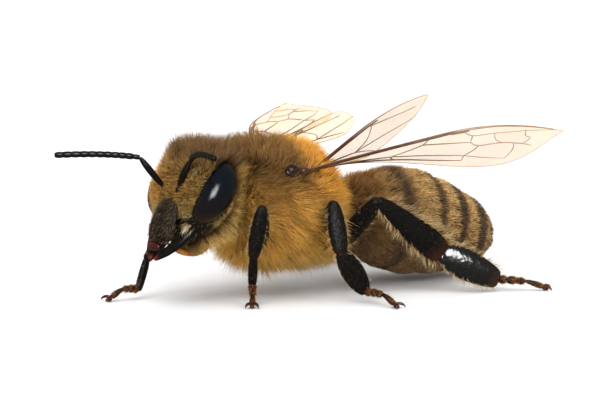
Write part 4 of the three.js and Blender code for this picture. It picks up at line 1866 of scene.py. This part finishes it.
    def _foot(self, coat: Coat) -> None:
        """The small joints of the foot, its pad and its two claws."""
        r = self.route
        bow = Path((r.heel, r.arch, r.toe))
        parts = []
        ends = [0.0, 0.17, 0.33, 0.48]
        for i in range(self.CUPS):
            start, end = bow.at(ends[i]), bow.at(ends[i + 1] + 0.03)
            wide = (0.155, 0.145, 0.13)[i]
            share = run([0.55 * wide, 0.9 * wide, wide, 0.85 * wide])
            joint = Path((tuple(start), tuple((start + end) / 2), tuple(end)))
            parts.append(Forge.limb(joint, share, share, self.outward, 18, 12, 0.35))
        last = Path(tuple(tuple(bow.at(t) + Vector((0, 0, 0.02))) for t in (0.46, 0.64, 0.82, 1.0)))
        taper = run([0.055, 0.085, 0.11, 0.115])
        parts.append(Forge.limb(last, taper, taper, self.outward, 18, 16, 0.4))
        toe, heel = Vector(r.toe), Vector(r.heel)
        ahead = (toe - heel) * Vector((1, 1, 0))
        ahead.normalize()
        aside = Vector((-ahead.y, ahead.x, 0))

        def paint(places: Rows, ways: Rows) -> Rows:
            """Dark red-brown."""
            return blend((0.010, 0.005, 0.003), (0.065, 0.018, 0.007), smooth(0.2, -0.7, ways[:, 2]))

        foot = Forge.joined(parts)
        stands = [f"{self.name}_tarsus"]
        pelt = self.forge.piece(f"{self.name}_foot", foot, self.palette.leg, Slot.FOOT, stands, paint)
        claws = []
        for hand in (-1, 1):
            route = (
                toe + aside * (hand * 0.05) + Vector((0, 0, 0.03)),
                toe + ahead * 0.13 + aside * (hand * 0.13) + Vector((0, 0, 0.05)),
                toe + ahead * 0.25 + aside * (hand * 0.2) + Vector((0, 0, 0.01)),
                toe + ahead * 0.31 + aside * (hand * 0.23) + Vector((0, 0, -0.08)),
            )
            share = run([0.06, 0.055, 0.04, 0.016])
            hook = Path(tuple(tuple(p) for p in route))
            claws.append(Forge.limb(hook, share, share, Vector((0, 0, 1)), 12, 16, 0.5))
        middle = toe + ahead * 0.10

        def pad(way: Vector) -> Vector:
            """The soft pad between the claws."""
            flat = Vector((middle.x, middle.y, 0.075)) + ahead * (way.x * 0.12) + aside * (way.y * 0.09)
            return flat + Vector((0, 0, way.z * 0.072))

        claws.append(Forge.ball(18, 12, pad))
        self.forge.piece(f"{self.name}_claws", Forge.joined(claws), self.palette.claw, Slot.FOOT)
        down = np.array([list(((toe - heel).normalized()))])
        coat.grow(
            pelt,
            Fur(
                420, even(0.11), lambda p, n, w: down + n * 0.7,
                plain((0.16, 0.07, 0.03)), plain((0.60, 0.36, 0.15)),
                lambda p, n, w: smooth(0.10, 0.2, p[:, 2]), radius=0.008, clump=0.05, gather=0.2, spike=True,
            ),
            (0.0, 0.8, 1.0, 0.2),
        )


# ---------------------------------------------------------------- wings


@dataclass(frozen=True)
class WingForm:
    """The outline of a wing in mm, and its veins.

    Args:
        root: where it grows, for the left side.
        length: from root to tip.
        chord: the widest chord.
        base: the chord at the root.
        apex: how far the tip lies behind the front edge.
        bowed: where the front edge starts to curve back.
        widest: where it is widest.
        pointed: the power of the outline from there to the tip; 0.5 is round.
        veins: each vein's radius and its points, as shares of the length along and across.
    """

    root: tuple[float, float, float]
    length: float
    chord: float
    base: float
    apex: float
    bowed: float
    widest: float
    pointed: float
    veins: tuple[tuple[float, tuple[tuple[float, float], ...]], ...]

    def lead(self, t: float) -> float:
        """How far back the front edge lies at t."""
        return self.apex * max(0.0, (t - self.bowed) / (1 - self.bowed)) ** 1.8

    def trail(self, t: float) -> float:
        """How far back the rear edge lies at t."""
        if t < self.widest:
            return self.base + (self.chord - self.base) * math.sin(math.pi / 2 * t / self.widest) ** 1.9
        past = min(1.0, (t - self.widest) / (1 - self.widest))
        return self.apex + (self.chord - self.apex) * (1 - past**2) ** self.pointed


@dataclass(frozen=True)
class WingPose:
    """How a wing is held.

    Args:
        heading: degrees out from the tail.
        rise: degrees up.
        droop: how far the tip sags in mm.
        roll: degrees that the chord is turned at the root and the tip.
    """

    heading: float
    rise: float
    droop: float
    roll: tuple[float, float]


FOREWING = WingForm(
    (1.86, -0.3, 4.62), 9.1, 3.05, 0.4, 1.42, 0.56, 0.68, 1.4,
    (
        (0.048, ((0.0, 0.012), (0.2, 0.008), (0.4, 0.008), (0.58, 0.010))),
        (0.040, ((0.0, 0.026), (0.2, 0.018), (0.4, 0.017), (0.58, 0.018))),
        (0.055, ((0.575, 0.016), (0.61, 0.022), (0.65, 0.026))),
        (0.018, ((0.64, 0.018), (0.76, 0.044), (0.88, 0.093), (0.965, 0.138))),
        (0.015, ((0.63, 0.03), (0.655, 0.072), (0.74, 0.088), (0.86, 0.112), (0.965, 0.138))),
        (0.030, ((0.0, 0.034), (0.15, 0.055), (0.33, 0.112))),
        (0.020, ((0.33, 0.112), (0.40, 0.085), (0.46, 0.058), (0.49, 0.02))),
        (0.022, ((0.46, 0.058), (0.55, 0.092), (0.64, 0.122))),
        (0.018, ((0.655, 0.072), (0.646, 0.10), (0.64, 0.122))),
        (0.018, ((0.64, 0.122), (0.665, 0.158), (0.755, 0.165), (0.83, 0.195), (0.862, 0.215))),
        (0.016, ((0.74, 0.088), (0.735, 0.13), (0.755, 0.165))),
        (0.016, ((0.86, 0.107), (0.85, 0.14), (0.865, 0.165), (0.83, 0.195))),
        (0.020, ((0.33, 0.112), (0.45, 0.165), (0.60, 0.222))),
        (0.018, ((0.665, 0.158), (0.64, 0.19), (0.60, 0.222))),
        (0.015, ((0.60, 0.222), (0.67, 0.258), (0.745, 0.282))),
        (0.016, ((0.80, 0.18), (0.785, 0.23), (0.745, 0.285))),
        (0.016, ((0.60, 0.222), (0.585, 0.262))),
        (0.026, ((0.0, 0.040), (0.16, 0.072), (0.33, 0.15), (0.50, 0.235), (0.585, 0.262))),
        (0.022, ((0.325, 0.112), (0.335, 0.152))),
    ),
)
HINDWING = WingForm(
    (1.5, 0.35, 4.62), 6.3, 1.85, 0.3, 0.75, 0.4, 0.55, 0.5,
    (
        (0.042, ((0.0, 0.015), (0.2, 0.018), (0.45, 0.022), (0.55, 0.03))),
        (0.020, ((0.45, 0.022), (0.60, 0.07), (0.78, 0.125), (0.9, 0.155))),
        (0.030, ((0.0, 0.03), (0.18, 0.085), (0.36, 0.16))),
        (0.020, ((0.36, 0.16), (0.46, 0.13), (0.50, 0.04))),
        (0.018, ((0.36, 0.16), (0.55, 0.19), (0.75, 0.22), (0.9, 0.235))),
        (0.018, ((0.36, 0.16), (0.46, 0.22), (0.54, 0.275))),
    ),
)
WING_POSES: dict[tuple[str, Side], WingPose] = {
    ("forewing", Side.LEFT): WingPose(29.7, 15.8, 0.2, (17.0, 49.0)),
    ("hindwing", Side.LEFT): WingPose(-14.5, 27.0, 0.35, (60.0, 64.0)),
    ("forewing", Side.RIGHT): WingPose(61.5, 1.4, 0.0, (-4.0, -8.0)),
    ("hindwing", Side.RIGHT): WingPose(45.0, 6.0, 0.0, (0.0, 0.0)),
}


class Wing:
    """One wing: a thin clear skin with raised veins."""

    THICK = 0.022
    STEPS_ALONG = 60
    STEPS_ACROSS = 40

    def __init__(self, kind: str, side: Side, form: WingForm, pose: WingPose) -> None:
        """Args:
        kind: forewing or hindwing.
        side: which side.
        form: its outline.
        pose: how it is held.
        """
        self.name = f"{kind}_{side.word}"
        self.side = side
        self.form = form
        self.pose = pose
        hand = side.value
        heading, rise = math.radians(pose.heading), math.radians(pose.rise)
        self.along = Vector((hand * math.sin(heading), math.cos(heading), math.tan(rise))).normalized()
        self.level = Vector((-hand * math.cos(heading), math.sin(heading), 0.0))
        self.above = self.along.cross(self.level) * hand
        self.root = Vector((hand * form.root[0], form.root[1], form.root[2]))

    def _chord(self, t: float) -> Vector:
        """The unit direction of the chord at t."""
        roll = math.radians(self.pose.roll[0] + (self.pose.roll[1] - self.pose.roll[0]) * t)
        return self.level * math.cos(roll) - self.above * math.sin(roll)

    def spot(self, t: float, across: float, lift: float = 0.0) -> Vector:
        """A place on the wing.

        Args:
            t: share of the length.
            across: mm behind the line of the front edge.
            lift: mm above the skin.

        Returns:
            The place in mm.
        """
        chord = self._chord(t)
        sag = Vector((0, 0, -self.pose.droop * t * t))
        spot = self.root + self.along * (t * self.form.length) + chord * across
        return spot + chord.cross(self.along) * lift + sag

    def build(self, forge: Forge, palette: Palette) -> None:
        """Makes the skin and the veins.

        Args:
            forge: sets pieces into the frame.
            palette: the finishes.
        """
        form = self.form

        def place(way: Vector) -> Vector:
            """Puts a point of the unit ball on the skin: root and tip are its poles."""
            t = (1.0 - way.z) / 2.0
            ring = math.hypot(way.x, way.y)
            lead, trail = form.lead(t), form.trail(t)
            share, side = (way.x / ring, way.y / ring) if ring > 1e-6 else (0.0, 0.0)
            across = (lead + trail) / 2 + share * (trail - lead) / 2
            fold = 0.02 * math.sin(share * 5 + t * 5) * min(1.0, 4 * t)
            return self.spot(t, across, fold + side * self.THICK / 2)

        bm = Forge.ball(self.STEPS_ACROSS, self.STEPS_ALONG, place)
        forge.piece(f"{self.name}_skin", bm, palette.membrane, Slot.WING, [self.name])
        veins = []
        for radius, points in form.veins:
            spots = tuple(tuple(self.spot(t, y * form.length, 0.01)) for t, y in points)
            steps = 6 * len(points)
            share = run([radius, radius * 0.85, radius * 0.7])
            veins.append(Forge.limb(Path(spots), share, share, self.above, 8, steps, 0.3))
        for front in (True, False):
            stops = [0.02 + 0.978 * k / 16 for k in range(17)]
            edge = form.lead if front else form.trail
            spots = tuple(tuple(self.spot(t, edge(t) + (0.015 if front else -0.015))) for t in stops)
            share = run([0.045, 0.028, 0.017, 0.014] if front else [0.015, 0.010, 0.008, 0.009])
            veins.append(Forge.limb(Path(spots), share, share, self.above, 8, 48, 0.3))

        def fading(places: Rows, ways: Rows) -> Rows:
            """Dark brown by the root, tan towards the tip."""
            share = np.linalg.norm(places - np.array(self.root), axis=1) / form.length
            return blend((0.09, 0.032, 0.016), (0.36, 0.22, 0.13), smooth(0.25, 0.8, share))

        forge.piece(f"{self.name}_veins", Forge.joined(veins), palette.vein, Slot.WING, (), fading)


# ---------------------------------------------------------------- the bee and its studio


FEELERS: dict[Side, tuple[tuple[float, float, float], ...]] = {
    Side.LEFT: ((0.85, -4.22, 5.16), (1.95, -4.62, 5.76), (3.3, -4.62, 5.6)),
    Side.RIGHT: ((-0.62, -5.42, 5.16), (-1.2, -6.5, 5.34), (-2.08, -7.98, 5.24)),
}


class Bee:
    """The whole bee."""

    NECK_FRONT = -3.0

    def __init__(self) -> None:
        """Finds the bee's own origin in the row frame from its neck and builds the finishes."""
        low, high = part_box("neck")
        self.origin = Vector(((low.x + high.x) / 2, low.y - self.NECK_FRONT * MM, 0.0))
        self.forge = Forge(self.origin)
        self.palette = Palette()

    def build(self) -> None:
        """Makes every sub-assembly."""
        head = Head(self.forge, self.palette)
        head.build()
        for side, (elbow, bend, tip) in FEELERS.items():
            x, y, z = head.size.socket
            base = head.frame.out(side.value * x, y, z)
            Feeler(side, elbow, bend, tip, base).build(self.forge, self.palette)
        Thorax(self.forge, self.palette).build()
        Abdomen(self.forge, self.palette).build()
        for place in Pair:
            for side in Side:
                Leg(place, side, self.forge, self.palette).build()
        for (kind, side), pose in WING_POSES.items():
            form = FOREWING if kind == "forewing" else HINDWING
            Wing(kind, side, form, pose).build(self.forge, self.palette)


@dataclass(frozen=True)
class Lamp:
    """One soft lamp.

    Args:
        name: its name.
        azimuth: degrees round from the front.
        elevation: degrees up.
        distance: mm from the bee.
        width: its width in mm.
        height: its height in mm.
        power: its power in watts.
        colour: its colour.
        glint: whether it makes highlights, and nothing else; the others make none.
        only: the start of the names of the pieces that it lights, or nothing for all of them.
    """

    name: str
    azimuth: float
    elevation: float
    distance: float
    width: float
    height: float
    power: float
    colour: Colour = (1.0, 1.0, 1.0)
    glint: bool = False
    only: tuple[str, ...] = ()


@dataclass(frozen=True)
class Shot:
    """The camera: where it stands and what it sees."""

    azimuth: float = 60.0
    elevation: float = 10.0
    distance: float = 200.0
    pixels_per_mm: float = 28.6
    target: tuple[float, float, float] = (0.0, 0.0, 3.25)
    target_pixel: tuple[float, float] = (285.0, 201.0)
    image: tuple[int, int] = (612, 411)
    sensor: float = 36.0


class Studio:
    """The pale floor, the soft lamps and the camera.

    WORLD is how bright the light from all round is, and MIRRORED how bright it looks in reflections.
    """

    LAMPS = (
        Lamp("key_lamp", 30.0, 50.0, 150.0, 120.0, 100.0, 0.18),
        Lamp("top_lamp", 215.0, 70.0, 150.0, 130.0, 110.0, 0.08),
        Lamp("side_lamp", 115.0, 30.0, 150.0, 80.0, 90.0, 0.06),
        Lamp("glint_lamp", 58.0, 36.0, 150.0, 66.0, 96.0, 0.42, glint=True),
        Lamp(
            "joint_lamp", 110.0, 36.0, 150.0, 50.0, 50.0, 0.20,
            glint=True, only=("leg_hind_left_basitarsus",),
        ),
    )
    WORLD = 0.92
    MIRRORED = 0.2

    def __init__(self, origin: Vector, shot: Shot = Shot()) -> None:
        """Args:
        origin: the bee's own origin in the row frame.
        shot: the camera's sizes.
        """
        self.origin = origin
        self.shot = shot

    def build(self) -> None:
        """Makes the stage."""
        self._floor()
        for lamp in self.LAMPS:
            self._lamp(lamp)
        self._world()
        self._camera()

    @staticmethod
    def _back(azimuth: float, elevation: float) -> Vector:
        """The unit direction from the bee to a viewpoint."""
        a, e = math.radians(azimuth), math.radians(elevation)
        return Vector((math.sin(a) * math.cos(e), -math.cos(a) * math.cos(e), math.sin(e)))

    def _floor(self) -> None:
        """A plain pale floor."""
        bm = bmesh.new()
        bmesh.ops.create_grid(bm, x_segments=1, y_segments=1, size=1.5)
        mesh = bpy.data.meshes.new("floor")
        bm.to_mesh(mesh)
        bm.free()
        floor = bpy.data.objects.new("floor", mesh)
        bpy.context.scene.collection.objects.link(floor)
        nodes = Nodes("pale_floor")
        nodes.set(Base_Color=(0.76, 0.76, 0.76, 1.0), Roughness=0.8, Specular_IOR_Level=0.1)
        mesh.materials.append(nodes.material)
        floor.visible_glossy = False

    def _lamp(self, lamp: Lamp) -> None:
        """One lamp that looks at the bee."""
        data = bpy.data.lights.new(lamp.name, "AREA")
        data.shape = "RECTANGLE"
        data.size, data.size_y = lamp.width * MM, lamp.height * MM
        data.energy = lamp.power
        data.color = lamp.colour
        item = bpy.data.objects.new(lamp.name, data)
        back = self._back(lamp.azimuth, lamp.elevation)
        item.location = self.origin + (Vector((0, 1.0, 2.5)) + back * lamp.distance) * MM
        item.rotation_euler = back.to_track_quat("Z", "Y").to_euler()
        item.visible_diffuse = not lamp.glint
        item.visible_glossy = lamp.glint
        bpy.context.scene.collection.objects.link(item)
        if lamp.only:
            lit = bpy.data.collections.new(f"lit_by_{lamp.name}")
            for piece in bpy.data.objects:
                if piece.name.startswith(lamp.only):
                    lit.objects.link(piece)
            item.light_linking.receiver_collection = lit

    def _world(self) -> None:
        """Even pale light from all round."""
        world = bpy.data.worlds.new("studio")
        world.use_nodes = True
        background = world.node_tree.nodes["Background"]
        background.inputs["Color"].default_value = (1.0, 1.0, 1.0, 1.0)
        tree = world.node_tree
        path = tree.nodes.new("ShaderNodeLightPath")
        dim = tree.nodes.new("ShaderNodeMapRange")
        dim.inputs["To Min"].default_value = self.WORLD
        dim.inputs["To Max"].default_value = self.MIRRORED
        tree.links.new(path.outputs["Is Glossy Ray"], dim.inputs["Value"])
        tree.links.new(dim.outputs["Result"], background.inputs["Strength"])
        bpy.context.scene.world = world
        bpy.context.scene.view_settings.view_transform = "Standard"

    def _camera(self) -> None:
        """A long lens, low at the bee's left front."""
        shot = self.shot
        back = self._back(shot.azimuth, shot.elevation)
        right = Vector((0, 0, 1)).cross(back).normalized()
        up = back.cross(right)
        aside = (shot.image[0] / 2 - shot.target_pixel[0]) / shot.pixels_per_mm
        above = (shot.target_pixel[1] - shot.image[1] / 2) / shot.pixels_per_mm
        spot = Vector(shot.target) + right * aside + up * above + back * shot.distance
        data = bpy.data.cameras.new("camera")
        data.sensor_width = shot.sensor
        data.lens = shot.pixels_per_mm * shot.distance * shot.sensor / shot.image[0]
        data.clip_start, data.clip_end = 0.01, 10.0
        item = bpy.data.objects.new("camera", data)
        item.location = self.origin + spot * MM
        item.rotation_euler = back.to_track_quat("Z", "Y").to_euler()
        bpy.context.scene.collection.objects.link(item)
        bpy.context.scene.camera = item


def main() -> None:
    """Builds the bee and its studio."""
    logging.basicConfig(level=logging.INFO, format="%(name)s: %(message)s")
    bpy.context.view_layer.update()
    bee = Bee()
    bee.build()
    Studio(bee.origin).build()


if __name__ == "__main__":
    main()
